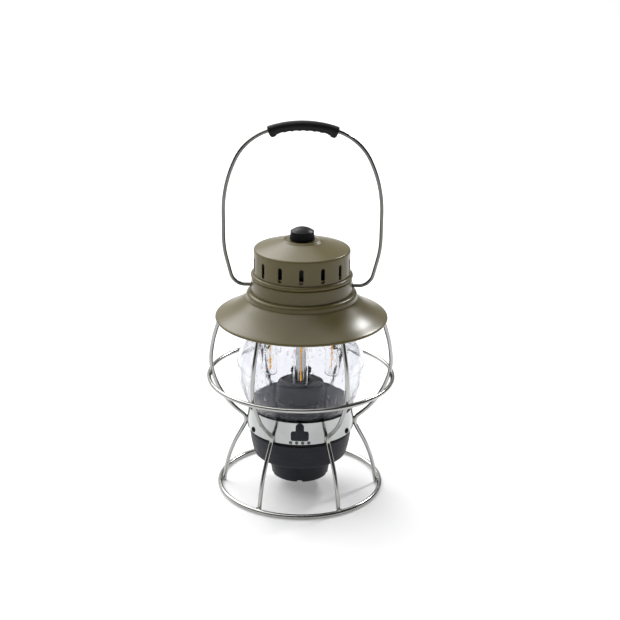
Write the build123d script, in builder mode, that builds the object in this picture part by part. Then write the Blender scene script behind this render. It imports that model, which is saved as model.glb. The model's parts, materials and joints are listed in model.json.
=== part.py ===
from build123d import *
from math import cos, degrees, radians, sin
import os

# A railroad-style camping lantern: a wire cage on a base ring, a blown glass globe, four LED filament
# lamps hanging from the roof, a painted steel roof with a vent cap, a wire bail with a grip, a dimmer
# knob on top and a battery base with a covered charging port.
# Millimetres. The origin is on the ground at the lantern's axis, +Z is up, the charging port faces -Y
# and the bail swings about X. Profiles of round parts are (radius, height) points.

os.makedirs("parts", exist_ok=True)

# ---- driving dimensions ----

# wire cage
BASE_RING_R = 80.3
BASE_WIRE = 4.8
GUARD_RING_R = 90.0
GUARD_RING_Z = 116.8
GUARD_WIRE = 4.5
RIB_WIRE = 4.0
RIB_COUNT = 6
TOP_RING_R = 74.3
TOP_RING_Z = 181.3
TOP_WIRE = 3.0

# steel band round the waist
BAND_R = 52.5
BAND_BOTTOM = 64.6
BAND_TOP = 87.4
SHEET = 0.8
BAND_IN_R = BAND_R - SHEET
SCREW_AZIMUTHS = (-150, -30, 90)
SCREW_Z = 68.4

# charging port and charge lights, in the front of the band
PORT_WIDTH = 17.2
PORT_BOTTOM = 69.0
PORT_SHOULDER = 78.6
TAB_WIDTH = 8.0
TAB_TOP = 87.0
COVER_T = 1.0
USB_Z = 73.4
MICRO_Z = 81.1
LIGHT_Z = 66.7
LIGHT_PITCH = 5.8
LIGHT_COUNT = 4
LIGHT_D = 3.5

# base below the band
HOUSING_TOP = 60.9
HOUSING_TOP_R = 50.4
SEAL_R = 51.2
HOUSING_FLOOR = 36.0
HOUSING_FLOOR_R = 46.1
WALL = 2.0
FOOT_TOP_R = 32.0
FOOT_BOTTOM_R = 28.0
FOOT_BOTTOM = 13.0
NOTCH_COUNT = 5
BOARD_T = 1.6
BOARD_TOP = BAND_BOTTOM + BOARD_T
POST_CIRCLE_R = 39.0
POST_R = 3.2
POST_AZIMUTHS = (-135, -45, 90)
BASE_SCREW_R = 1.5
FOOT_SCREW_CIRCLE_R = 20.0
FOOT_SCREW_R = 1.25
CELL_D = 18.4
CELL_LENGTH = 65.2
CELL_Z = 50.0

# deck inside the globe
DECK_R = 47.0
DECK_TOP = 91.0
LEDGE_Z = 83.0
PUCK_R = 22.5
PUCK_TOP = 109.0

# glass globe
GLASS_T = 2.2
GLOBE_FOOT_R = 51.0
GLOBE_FOOT_Z = 85.0
GLOBE_R = 62.8
GLOBE_WIDEST_Z = 128.5
GLOBE_NECK_R = 43.0
GLOBE_TOP_Z = 183.0

# lamps
LAMP_COUNT = 4
LAMP_RADIUS = 30.0
LAMP_D = 14.0
LAMP_BOTTOM = 117.0
FILAMENT_D = 1.8
FILAMENT_BOTTOM = 121.5
FILAMENT_LENGTH = 44.0
TUBE_D = 12.6
PLATE_Z = 186.0
PLATE_T = 1.2

# roof
BRIM_R = 83.3
BRIM_BEAD_Z = 178.05
BRIM_BEAD = 1.45
SHOULDER_R = 53.3
SHOULDER_Z = 204.0
COLLAR_R = 48.3
COLLAR_TOP = 217.8
COLLAR_NECK_R = 44.0
CAP_R = 46.2
CAP_BEAD_Z = 219.9
CAP_EDGE_Z = 245.8
CAP_RIM_R = 19.6
CAP_RIM_Z = 253.6
CAP_CREST_R = 17.6
CAP_CREST_Z = 255.4
CAP_SEAT_R = 15.6
CAP_SEAT_Z = 254.2
SLOT_COUNT = 14
SLOT_LENGTH = 14.4
SLOT_WIDTH = 4.0
SLOT_Z = 231.2

# dimmer knob and control
KNOB_BOTTOM = 255.0
KNOB_BOTTOM_R = 12.0
KNOB_FLARE_Z = 258.0
KNOB_TOP_R = 11.3
KNOB_SHOULDER_Z = 262.9
KNOB_TOP = 266.9
KNOB_HOLLOW_R = 7.5
KNOB_HOLLOW_Z = 258.6
KNURL_COUNT = 48
SHAFT_R = 3.0
SHAFT_TOP = 263.4
BUSH_R = 3.6
RUNNING = 0.05

# bail
BAIL_WIRE = 3.5
PIVOT_Z = 209.2
BAIL_TOP_Z = 363.3
GRIP_HALF = 33.2
GRIP_ARC_R = 96.0
GRIP_R = 5.0


def radial_plane(azimuth):
    """Upright plane through the axis: local x runs outward, local y runs up."""
    a = radians(azimuth)
    return Plane(origin=(0, 0, 0), x_dir=(cos(a), sin(a), 0), z_dir=(sin(a), -cos(a), 0))


def facing_plane(azimuth, radius, height):
    """Upright plane that faces outward at a radius: local x runs sideways, local y runs up."""
    a = radians(azimuth)
    origin = (radius * cos(a), radius * sin(a), height)
    return Plane(origin=origin, x_dir=(-sin(a), cos(a), 0), z_dir=(cos(a), sin(a), 0))


def polar(radius, azimuth):
    a = radians(azimuth)
    return (radius * cos(a), radius * sin(a))


def sheet_section(points, radii, thickness=SHEET):
    """Section of a pressed sheet: its outer line runs through the points, the metal lies to its left."""
    with BuildSketch() as section:
        with BuildLine():
            FilletPolyline(*points, radius=radii)
            offset(amount=thickness, side=Side.LEFT)
        make_face()
    return section.sketch


# ---- cage ----

# base ring: the round wire ring that the lantern stands on
with BuildPart() as base_ring:
    with Locations((0, 0, BASE_WIRE / 2)):
        Torus(BASE_RING_R, BASE_WIRE / 2)
base_ring.part.label = "base_ring"
export_step(base_ring.part, "parts/base_ring.step")

# guard ring: the bumper ring round the ribs
with BuildPart() as guard_ring:
    with Locations((0, 0, GUARD_RING_Z)):
        Torus(GUARD_RING_R, GUARD_WIRE / 2)
guard_ring.part.label = "guard_ring"
export_step(guard_ring.part, "parts/guard_ring.step")

# roof brim: spun sheet with a rolled edge, a dished slope, an upright shoulder and a flat step
brim_line = [
    (BRIM_R - 1.3, BRIM_BEAD_Z + 0.9),
    (67.5, 186.7),
    (SHOULDER_R, 197.7),
    (SHOULDER_R, SHOULDER_Z),
    (46.0, SHOULDER_Z),
]
with BuildPart() as roof_brim:
    with BuildSketch(Plane.XZ):
        add(sheet_section(brim_line, [90, 2.2, 1.5]))
        with Locations((BRIM_R - BRIM_BEAD, BRIM_BEAD_Z)):
            Circle(BRIM_BEAD)
    revolve(axis=Axis.Z)
roof_brim.part.label = "roof_brim"
export_step(roof_brim.part, "parts/roof_brim.step")

# the space above the brim's underside, for coping the wires that are welded to it
BRIM_SLOPE = (brim_line[1][1] - brim_line[0][1]) / (brim_line[0][0] - brim_line[1][0])


def brim_underside(radius):
    return brim_line[0][1] + (brim_line[0][0] - radius) * BRIM_SLOPE - SHEET * (1 + BRIM_SLOPE ** 2) ** 0.5


with BuildPart() as above_brim:
    with BuildSketch(Plane.XZ):
        with BuildLine():
            Polyline((70, brim_underside(70)), (84, brim_underside(84)), (84, 200), (70, 200), close=True)
        make_face()
    revolve(axis=Axis.Z)

# ribs: six bent wires, welded to the base ring, the band, the guard ring, the top ring and the brim
rib_points = [(76.35, 0.4), (71.6, 31.9), (51.7, 69.6), (80.9, 93.8), (88.9, 129.0), (86.2, 151.0), (76.6, 184.0)]
rib_bends = [110, 9, 78, 50, 100]
band_blank = Cylinder(BAND_R, 60).moved(Location((0, 0, SCREW_Z)))
top_ring_blank = Torus(TOP_RING_R, TOP_WIRE / 2).moved(Location((0, 0, TOP_RING_Z)))
for i in range(RIB_COUNT):
    plane = radial_plane(360 / RIB_COUNT * i)
    with BuildPart() as cage_rib:
        with BuildLine(plane) as rib_path:
            FilletPolyline(*rib_points, radius=rib_bends)
        with BuildSketch(Plane(origin=rib_path.line @ 0, z_dir=rib_path.line % 0)):
            Circle(RIB_WIRE / 2)
        sweep()
        add(base_ring.part, mode=Mode.SUBTRACT)
        add(guard_ring.part, mode=Mode.SUBTRACT)
        add(band_blank, mode=Mode.SUBTRACT)
        add(top_ring_blank, mode=Mode.SUBTRACT)
        add(above_brim.part, mode=Mode.SUBTRACT)
        add(roof_brim.part, mode=Mode.SUBTRACT)
    cage_rib.part.label = f"cage_rib_{i + 1}"
    export_step(cage_rib.part, f"parts/cage_rib_{i + 1}.step")

# top ring: wire ring under the brim that ties the ribs' upper ends
with BuildPart() as cage_top_ring:
    add(top_ring_blank)
    add(above_brim.part, mode=Mode.SUBTRACT)
cage_top_ring.part.label = "cage_top_ring"
export_step(cage_top_ring.part, "parts/cage_top_ring.step")

# band: polished waist band with its screw holes, charge light holes and socket windows
with BuildPart() as cage_band:
    with BuildSketch(Plane.XY.offset(BAND_BOTTOM)):
        Circle(BAND_R)
        Circle(BAND_IN_R, mode=Mode.SUBTRACT)
    extrude(amount=BAND_TOP - BAND_BOTTOM)
    for azimuth in SCREW_AZIMUTHS:
        with BuildSketch(facing_plane(azimuth, BAND_IN_R - 1, SCREW_Z)):
            Circle(1.6)
        extrude(amount=4, mode=Mode.SUBTRACT)
    with BuildSketch(facing_plane(-90, BAND_IN_R - 5, 0)):
        with Locations((0, USB_Z)):
            Rectangle(13.8, 6.4)
        with Locations((0, MICRO_Z)):
            Rectangle(7.7, 3.0)
        with Locations((0, LIGHT_Z)):
            with GridLocations(LIGHT_PITCH, 0, LIGHT_COUNT, 1):
                Circle(LIGHT_D / 2)
    extrude(amount=8, mode=Mode.SUBTRACT)
    with BuildSketch(facing_plane(-90, BAND_IN_R - 1, PORT_BOTTOM + 0.5)):
        Rectangle(6.0, 0.8)
    extrude(amount=4, mode=Mode.SUBTRACT)
cage_band.part.label = "cage_band"
export_step(cage_band.part, "parts/cage_band.step")

# ---- base deck, seen through the globe ----

deck_line = [
    (BAND_IN_R, BAND_BOTTOM),
    (BAND_IN_R, LEDGE_Z),
    (DECK_R, LEDGE_Z),
    (DECK_R, DECK_TOP),
    (PUCK_R + 0.6, DECK_TOP),
    (PUCK_R, PUCK_TOP),
    (TUBE_D / 2, PUCK_TOP),
]
DECK_WALL = 2.2
with BuildPart() as base_deck:
    with BuildSketch(Plane.XZ):
        add(sheet_section(deck_line, [0.6, 0.3, 1.2, 2.5, 1.0], DECK_WALL))
    revolve(axis=Axis.Z)
    # posts for the long base screws, and inward bosses for the band screws
    with BuildSketch(Plane.XY.offset(BOARD_TOP)):
        for azimuth in POST_AZIMUTHS:
            with Locations(polar(POST_CIRCLE_R, azimuth)):
                Circle(POST_R)
    extrude(amount=DECK_TOP - 1 - BOARD_TOP)
    for azimuth in SCREW_AZIMUTHS:
        with BuildSketch(facing_plane(azimuth, 44.6, SCREW_Z)):
            Circle(2.6)
        extrude(amount=6)
    # pilot holes
    with BuildSketch(Plane.XY.offset(BOARD_TOP)):
        for azimuth in POST_AZIMUTHS:
            with Locations(polar(POST_CIRCLE_R, azimuth)):
                Circle(1.5)
    extrude(amount=12, mode=Mode.SUBTRACT)
    for azimuth in SCREW_AZIMUTHS:
        with BuildSketch(facing_plane(azimuth, 45.4, SCREW_Z)):
            Circle(1.4)
        extrude(amount=8, mode=Mode.SUBTRACT)
    # windows for the sockets, the charge lights and the cover's anchor
    with BuildSketch(facing_plane(-90, 45, 0)):
        with Locations((0, USB_Z)):
            Rectangle(14.2, 6.8)
        with Locations((0, MICRO_Z - 0.9)):
            Rectangle(9.0, 5.4)
        with Locations((0, LIGHT_Z)):
            with GridLocations(LIGHT_PITCH, 0, LIGHT_COUNT, 1):
                Circle(LIGHT_D / 2)
        with Locations((0, PORT_BOTTOM + 0.5)):
            Rectangle(6.0, 0.8)
    extrude(amount=8, mode=Mode.SUBTRACT)
base_deck.part.label = "base_deck"
export_step(base_deck.part, "parts/base_deck.step")

# band screws: dome heads on the band, threads in the deck's bosses
with BuildPart() as band_screws:
    for azimuth in SCREW_AZIMUTHS:
        with BuildSketch(facing_plane(azimuth, BAND_R, SCREW_Z)):
            Circle(3.0)
        extrude(amount=1.9, taper=28)
        with BuildSketch(facing_plane(azimuth, 46.0, SCREW_Z)):
            Circle(1.4)
        extrude(amount=BAND_R + 0.2 - 46.0)
        with BuildSketch(facing_plane(azimuth, BAND_R + 1.1, SCREW_Z)):
            Rectangle(2.6, 0.6)
            Rectangle(0.6, 2.6)
        extrude(amount=2, mode=Mode.SUBTRACT)
    add(cage_band.part, mode=Mode.SUBTRACT)
band_screws.part.label = "band_screws"
export_step(band_screws.part, "parts/band_screws.step")

# ---- charging port ----

# main board with the charge controller, four charge LEDs and components
BOARD_R = 44.0
with BuildPart() as charge_board:
    with BuildSketch(Plane.XY.offset(BAND_BOTTOM)):
        Circle(BOARD_R)
        for azimuth in POST_AZIMUTHS:
            with Locations(polar(POST_CIRCLE_R, azimuth)):
                Circle(1.7, mode=Mode.SUBTRACT)
    extrude(amount=BOARD_T)
    with BuildSketch(Plane.XY.offset(BOARD_TOP)):
        with Locations((0, 14), (-22, 4), (20, -6)):
            Rectangle(7, 6)
        with Locations((0, -42.5)):
            with GridLocations(LIGHT_PITCH, 0, LIGHT_COUNT, 1):
                Rectangle(2.0, 1.2)
    extrude(amount=1.4)
    with BuildSketch(Plane.XY.offset(BOARD_TOP)):
        with Locations((-12, 24), (14, 24), (-28, -14)):
            Circle(3.0)
    extrude(amount=6.0)
charge_board.part.label = "charge_board"
export_step(charge_board.part, "parts/charge_board.step")

# port board: upright board behind the sockets, with a shelf for the small one
PORT_BOARD_Y = -38.6
with BuildPart() as port_board:
    with BuildSketch(Plane.XY.offset(BOARD_TOP)):
        with Locations((0, PORT_BOARD_Y + BOARD_T / 2)):
            Rectangle(26, BOARD_T)
    extrude(amount=20.0)
    with BuildSketch(Plane.XY.offset(MICRO_Z - 1.3 - BOARD_T)):
        with Locations((0, PORT_BOARD_Y - 5.6)):
            Rectangle(8.4, 11.2)
    extrude(amount=BOARD_T)
port_board.part.label = "port_board"
export_step(port_board.part, "parts/port_board.step")

# USB-A socket: folded shell with its contact tongue
SOCKET_FACE_Y = -52.1
with BuildPart() as usb_a_socket:
    with BuildSketch(Plane.XZ.offset(-PORT_BOARD_Y)):
        with Locations((0, USB_Z)):
            Rectangle(13.1, 5.7)
    extrude(amount=PORT_BOARD_Y - SOCKET_FACE_Y)
    with BuildSketch(Plane.XZ.offset(-PORT_BOARD_Y + 2.0)):
        with Locations((0, USB_Z)):
            Rectangle(12.3, 4.9)
    extrude(amount=20, mode=Mode.SUBTRACT)
    with BuildSketch(Plane.XZ.offset(-PORT_BOARD_Y + 2.0)):
        with Locations((0, USB_Z + 1.1)):
            Rectangle(11.1, 1.8)
    extrude(amount=8.4)
usb_a_socket.part.label = "usb_a_socket"
export_step(usb_a_socket.part, "parts/usb_a_socket.step")

# micro USB socket: shell with the two lower corners cut off, and its tongue
with BuildPart() as micro_usb_socket:
    with BuildSketch(Plane.XZ.offset(46.6)) as micro_shell:
        with Locations((0, MICRO_Z)):
            Rectangle(7.5, 2.6)
        chamfer(micro_shell.vertices().group_by(Axis.Z)[0], length=0.9)
    extrude(amount=5.5)
    with BuildSketch(Plane.XZ.offset(47.6)) as micro_cavity:
        with Locations((0, MICRO_Z)):
            Rectangle(6.9, 2.0)
        chamfer(micro_cavity.vertices().group_by(Axis.Z)[0], length=0.7)
    extrude(amount=6, mode=Mode.SUBTRACT)
    with BuildSketch(Plane.XZ.offset(47.6)):
        with Locations((0, MICRO_Z + 0.35)):
            Rectangle(3.8, 0.6)
    extrude(amount=2.6)
micro_usb_socket.part.label = "micro_usb_socket"
export_step(micro_usb_socket.part, "parts/micro_usb_socket.step")

# light pipes that carry the four charge LEDs to the band's face
with BuildPart() as light_pipes:
    with BuildSketch(Plane.XZ.offset(BOARD_R + 0.3)):
        with Locations((0, LIGHT_Z)):
            with GridLocations(LIGHT_PITCH, 0, LIGHT_COUNT, 1):
                Circle(LIGHT_D / 2)
    extrude(amount=10)
    with BuildSketch(Plane.XY.offset(LIGHT_Z - 3)):
        Circle(60)
        Circle(BAND_R + 0.3, mode=Mode.SUBTRACT)
    extrude(amount=6, mode=Mode.SUBTRACT)
light_pipes.part.label = "light_pipes"
export_step(light_pipes.part, "parts/light_pipes.step")

# port cover: curved T-shaped silicone flap with a pull tab, a finger ring and two shallow plugs
with BuildPart() as port_cover:
    with BuildSketch(Plane.XZ.offset(45)):
        with Locations((0, (PORT_BOTTOM + PORT_SHOULDER) / 2)):
            RectangleRounded(PORT_WIDTH, PORT_SHOULDER - PORT_BOTTOM, 2.1)
        with Locations((0, (PORT_SHOULDER + TAB_TOP) / 2 - 1.5)):
            SlotOverall(TAB_TOP - PORT_SHOULDER + 3.0, TAB_WIDTH, rotation=90)
    extrude(amount=12)
    with BuildSketch(Plane.XY.offset(PORT_BOTTOM - 1)):
        Circle(BAND_R + COVER_T)
        Circle(BAND_R, mode=Mode.SUBTRACT)
    extrude(amount=TAB_TOP - PORT_BOTTOM + 2, mode=Mode.INTERSECT)
    with BuildSketch(Plane.XZ.offset(BAND_R - 1.6)):
        with Locations((0, USB_Z - 0.5)):
            Rectangle(10.5, 2.6)
        with Locations((0, MICRO_Z - 0.1)):
            Rectangle(4.6, 0.9)
    extrude(amount=2.0)
    with BuildSketch(Plane.XZ.offset(BAND_R + COVER_T - 0.3)):
        with Locations((0, TAB_TOP - 4.2)):
            Circle(2.4)
            Circle(1.6, mode=Mode.SUBTRACT)
    extrude(amount=0.6)
port_cover.part.label = "port_cover"
export_step(port_cover.part, "parts/port_cover.step")

# cover anchor: the tongue that holds the flap's lower edge in the band
with BuildPart() as port_cover_anchor:
    with BuildSketch(facing_plane(-90, 47.2, PORT_BOTTOM + 0.5)):
        Rectangle(5.8, 0.7)
    extrude(amount=BAND_R - 47.2 - 0.1)
    with BuildSketch(facing_plane(-90, 46.4, PORT_BOTTOM + 0.35)):
        Rectangle(8.0, 1.3)
    extrude(amount=1.4)
port_cover_anchor.part.label = "port_cover_anchor"
export_step(port_cover_anchor.part, "parts/port_cover_anchor.step")

# ---- base below the band ----

# base seal: gasket between the deck, the band and the housing
with BuildPart() as base_seal:
    with BuildSketch(Plane.XZ):
        with BuildLine():
            FilletPolyline((SEAL_R - 2.6, HOUSING_TOP), (SEAL_R, HOUSING_TOP), (SEAL_R, BAND_BOTTOM),
                           (SEAL_R - 2.6, BAND_BOTTOM), close=True, radius=0.3)
        make_face()
    revolve(axis=Axis.Z)
base_seal.part.label = "base_seal"
export_step(base_seal.part, "parts/base_seal.step")

# base housing: bowl-shaped shell with the posts for the long screws
with BuildPart() as base_housing:
    with BuildSketch(Plane.XZ):
        with BuildLine():
            Line((HOUSING_TOP_R, HOUSING_TOP), (50.1, 58.0))
            ThreePointArc((50.1, 58.0), (48.5, 47.8), (HOUSING_FLOOR_R, 37.5))
            ThreePointArc((HOUSING_FLOOR_R, 37.5), (45.8, 36.5), (44.6, HOUSING_FLOOR))
            Line((44.6, HOUSING_FLOOR), (0, HOUSING_FLOOR))
            Polyline((0, HOUSING_FLOOR), (0, HOUSING_FLOOR + WALL), (43.4, HOUSING_FLOOR + WALL))
            ThreePointArc((43.4, HOUSING_FLOOR + WALL), (46.4, 47.8), (48.1, 58.0))
            Polyline((48.1, 58.0), (HOUSING_TOP_R - WALL, HOUSING_TOP), (HOUSING_TOP_R, HOUSING_TOP))
        make_face()
    revolve(axis=Axis.Z)
    with BuildSketch(Plane.XY.offset(HOUSING_FLOOR + 1)):
        for azimuth in POST_AZIMUTHS:
            with Locations(polar(POST_CIRCLE_R, azimuth)):
                Circle(POST_R)
    extrude(amount=BAND_BOTTOM - HOUSING_FLOOR - 1)
    with BuildSketch(Plane.XY.offset(HOUSING_FLOOR)):
        for azimuth in POST_AZIMUTHS:
            with Locations(polar(POST_CIRCLE_R, azimuth)):
                Circle(1.6)
    extrude(amount=40, mode=Mode.SUBTRACT)
    with BuildSketch(Plane.XY.offset(HOUSING_FLOOR)):
        for azimuth in POST_AZIMUTHS:
            with Locations(polar(POST_CIRCLE_R, azimuth)):
                Circle(2.9)
    extrude(amount=3.0, mode=Mode.SUBTRACT)
    # blind bosses for the foot's screws
    with BuildSketch(Plane.XY.offset(HOUSING_FLOOR + 1)):
        with PolarLocations(FOOT_SCREW_CIRCLE_R, 3, start_angle=90):
            Circle(2.8)
    extrude(amount=3.7)
    with BuildSketch(Plane.XY.offset(HOUSING_FLOOR)):
        with PolarLocations(FOOT_SCREW_CIRCLE_R, 3, start_angle=90):
            Circle(FOOT_SCREW_R)
    extrude(amount=4.4, mode=Mode.SUBTRACT)
base_housing.part.label = "base_housing"
export_step(base_housing.part, "parts/base_housing.step")

# base foot: tapered skirt with a notched lower rim, screwed under the housing
with BuildPart() as base_foot:
    with BuildSketch(Plane.XZ):
        with BuildLine():
            Polyline((0, HOUSING_FLOOR), (FOOT_TOP_R, HOUSING_FLOOR), (FOOT_BOTTOM_R, FOOT_BOTTOM),
                     (FOOT_BOTTOM_R - 1.8, FOOT_BOTTOM), (FOOT_TOP_R - 2.0, HOUSING_FLOOR - WALL),
                     (0, HOUSING_FLOOR - WALL), close=True)
        make_face()
    revolve(axis=Axis.Z)
    for i in range(NOTCH_COUNT):
        with BuildSketch(facing_plane(-90 + 360 / NOTCH_COUNT * i, 20, FOOT_BOTTOM)):
            SlotOverall(5.8, 3.6)
        extrude(amount=12, mode=Mode.SUBTRACT)
    with BuildSketch(Plane.XY.offset(HOUSING_FLOOR - WALL)):
        with PolarLocations(FOOT_SCREW_CIRCLE_R, 3, start_angle=90):
            Circle(1.5)
    extrude(amount=WALL, mode=Mode.SUBTRACT)
base_foot.part.label = "base_foot"
export_step(base_foot.part, "parts/base_foot.step")

# foot screws: short screws that hold the foot to the housing
with BuildPart() as foot_screws:
    with BuildSketch(Plane.XY.offset(HOUSING_FLOOR - WALL)):
        with PolarLocations(FOOT_SCREW_CIRCLE_R, 3, start_angle=90):
            Circle(FOOT_SCREW_R)
    extrude(amount=6.2)
    with BuildSketch(Plane.XY.offset(HOUSING_FLOOR - WALL)):
        with PolarLocations(FOOT_SCREW_CIRCLE_R, 3, start_angle=90):
            Circle(2.5)
    extrude(amount=-1.7, taper=20)
    with BuildSketch(Plane.XY.offset(HOUSING_FLOOR - WALL - 0.8)):
        with PolarLocations(FOOT_SCREW_CIRCLE_R, 3, start_angle=90):
            Rectangle(2.2, 0.5)
            Rectangle(0.5, 2.2)
    extrude(amount=-2, mode=Mode.SUBTRACT)
foot_screws.part.label = "foot_screws"
export_step(foot_screws.part, "parts/foot_screws.step")

# base screws: long screws through the housing's posts and the board into the deck
with BuildPart() as base_screws:
    for azimuth in POST_AZIMUTHS:
        with BuildSketch(Plane.XY.offset(HOUSING_FLOOR + 0.5)):
            with Locations(polar(POST_CIRCLE_R, azimuth)):
                Circle(2.7)
        extrude(amount=2.5)
        with BuildSketch(Plane.XY.offset(HOUSING_FLOOR + 2)):
            with Locations(polar(POST_CIRCLE_R, azimuth)):
                Circle(1.5)
        extrude(amount=BOARD_TOP + 11.5 - HOUSING_FLOOR - 2)
        with BuildSketch(Plane.XY.offset(HOUSING_FLOOR + 0.5)):
            with Locations(polar(POST_CIRCLE_R, azimuth)):
                Rectangle(2.4, 0.6)
                Rectangle(0.6, 2.4)
        extrude(amount=1.2, mode=Mode.SUBTRACT)
base_screws.part.label = "base_screws"
export_step(base_screws.part, "parts/base_screws.step")

# two lithium cells lying side by side along X
for i, side in enumerate((-1, 1)):
    with BuildPart() as battery_cell:
        with BuildSketch(Plane.YZ.offset(-CELL_LENGTH / 2)):
            with Locations((side * (CELL_D / 2 + 0.1), CELL_Z)):
                Circle(CELL_D / 2)
        extrude(amount=CELL_LENGTH - 1.0)
        fillet(battery_cell.edges().filter_by(GeomType.CIRCLE), radius=0.8)
        with BuildSketch(Plane.YZ.offset(CELL_LENGTH / 2 - 1.5)):
            with Locations((side * (CELL_D / 2 + 0.1), CELL_Z)):
                Circle(3.0)
        extrude(amount=1.5)
    battery_cell.part.label = f"battery_cell_{i + 1}"
    export_step(battery_cell.part, f"parts/battery_cell_{i + 1}.step")

# battery cradle: two saddles on a spine
with BuildPart() as battery_cradle:
    for x in (-26, 22):
        with BuildSketch(Plane.YZ.offset(x)):
            with Locations((0, (HOUSING_FLOOR + WALL + CELL_Z) / 2)):
                Rectangle(2 * CELL_D + 2.4, CELL_Z - HOUSING_FLOOR - WALL)
            with Locations((-CELL_D / 2 - 0.1, CELL_Z), (CELL_D / 2 + 0.1, CELL_Z)):
                Circle(CELL_D / 2, mode=Mode.SUBTRACT)
        extrude(amount=4)
    with BuildSketch(Plane.XY.offset(HOUSING_FLOOR + WALL)):
        Rectangle(44, 6)
    extrude(amount=2)
battery_cradle.part.label = "battery_cradle"
export_step(battery_cradle.part, "parts/battery_cradle.step")

# nickel strips across the cells' ends
with BuildPart() as battery_tabs:
    for x in (-CELL_LENGTH / 2 - 0.3, CELL_LENGTH / 2):
        with BuildSketch(Plane.YZ.offset(x)):
            with Locations((0, CELL_Z)):
                RectangleRounded(26, 7, 1)
        extrude(amount=0.3)
battery_tabs.part.label = "battery_tabs"
export_step(battery_tabs.part, "parts/battery_tabs.step")

# battery leads: two straight wires from the strips up to the board
LEAD_R = 0.8
with BuildPart() as battery_leads:
    with BuildSketch(Plane.XY.offset(CELL_Z - 2)):
        lead_x = CELL_LENGTH / 2 + 0.3 + LEAD_R
        with Locations((-lead_x, 0), (lead_x, 0)):
            Circle(LEAD_R)
    extrude(amount=BAND_BOTTOM - CELL_Z + 2)
battery_leads.part.label = "battery_leads"
export_step(battery_leads.part, "parts/battery_leads.step")

# ---- globe ----

# glass globe: foot rim, long lower swell, short round shoulder and a straight neck
SHOULDER_ARC = 30.0
SWELL_ARC = 75.0
SWELL_ANGLE = 29.0
NECK_ANGLE = 62.0


def globe_line(inset):
    """One face of the glass, the outer one at inset 0, from the foot up to the neck's rim."""
    r_shoulder = SHOULDER_ARC - inset
    r_swell = SWELL_ARC - inset
    widest = (GLOBE_R - inset, GLOBE_WIDEST_Z)
    a, b = radians(SWELL_ANGLE), radians(NECK_ANGLE)
    swell_end = (GLOBE_R - SWELL_ARC + r_swell * cos(a), GLOBE_WIDEST_Z - r_swell * sin(a))
    swell_mid = (GLOBE_R - SWELL_ARC + r_swell * cos(a / 2), GLOBE_WIDEST_Z - r_swell * sin(a / 2))
    neck_start = (GLOBE_R - SHOULDER_ARC + r_shoulder * cos(b), GLOBE_WIDEST_Z + r_shoulder * sin(b))
    shoulder_mid = (GLOBE_R - SHOULDER_ARC + r_shoulder * cos(b / 2), GLOBE_WIDEST_Z + r_shoulder * sin(b / 2))
    foot = (GLOBE_FOOT_R - inset, GLOBE_FOOT_Z)
    neck_r = GLOBE_NECK_R - inset
    neck_turn = TangentArc(neck_start, (neck_r, neck_start[1] + 6.0), tangent=(-sin(b), cos(b)))
    Line(foot, (foot[0], foot[1] + 2.0))
    Line((foot[0], foot[1] + 2.0), swell_end)
    ThreePointArc(swell_end, swell_mid, widest)
    ThreePointArc(widest, shoulder_mid, neck_start)
    Line(neck_turn @ 1, (neck_r, GLOBE_TOP_Z))


with BuildPart() as glass_globe:
    with BuildSketch(Plane.XZ):
        with BuildLine():
            globe_line(0)
            globe_line(GLASS_T)
            Line((GLOBE_FOOT_R, GLOBE_FOOT_Z), (GLOBE_FOOT_R - GLASS_T, GLOBE_FOOT_Z))
            Line((GLOBE_NECK_R, GLOBE_TOP_Z), (GLOBE_NECK_R - GLASS_T, GLOBE_TOP_Z))
        make_face()
    revolve(axis=Axis.Z)
glass_globe.part.label = "glass_globe"
export_step(glass_globe.part, "parts/glass_globe.step")

# lower globe seal: channel ring in the deck's ledge
LIP = 1.8
CORNER = 0.4
with BuildPart() as globe_seal_lower:
    with BuildSketch(Plane.XZ):
        with BuildLine():
            Polyline((DECK_R, LEDGE_Z + CORNER), (DECK_R + CORNER, LEDGE_Z), (BAND_IN_R, LEDGE_Z),
                     (BAND_IN_R, GLOBE_FOOT_Z + LIP),
                     (GLOBE_FOOT_R, GLOBE_FOOT_Z + LIP), (GLOBE_FOOT_R, GLOBE_FOOT_Z),
                     (GLOBE_FOOT_R - GLASS_T, GLOBE_FOOT_Z), (GLOBE_FOOT_R - GLASS_T, GLOBE_FOOT_Z + LIP),
                     (DECK_R, GLOBE_FOOT_Z + LIP), close=True)
        make_face()
    revolve(axis=Axis.Z)
globe_seal_lower.part.label = "globe_seal_lower"
export_step(globe_seal_lower.part, "parts/globe_seal_lower.step")

# upper globe seal: channel ring between the neck and the lamp plate
with BuildPart() as globe_seal_upper:
    with BuildSketch(Plane.XZ):
        with BuildLine():
            neck_in = GLOBE_NECK_R - GLASS_T
            Polyline((neck_in - LIP, GLOBE_TOP_Z - 3.5), (neck_in, GLOBE_TOP_Z - 3.5), (neck_in, GLOBE_TOP_Z),
                     (GLOBE_NECK_R, GLOBE_TOP_Z), (GLOBE_NECK_R, GLOBE_TOP_Z - 3.5),
                     (GLOBE_NECK_R + LIP, GLOBE_TOP_Z - 3.5), (GLOBE_NECK_R + LIP, PLATE_Z),
                     (neck_in - LIP, PLATE_Z), close=True)
        make_face()
    revolve(axis=Axis.Z)
globe_seal_upper.part.label = "globe_seal_upper"
export_step(globe_seal_upper.part, "parts/globe_seal_upper.step")

# ---- lamps ----

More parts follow.
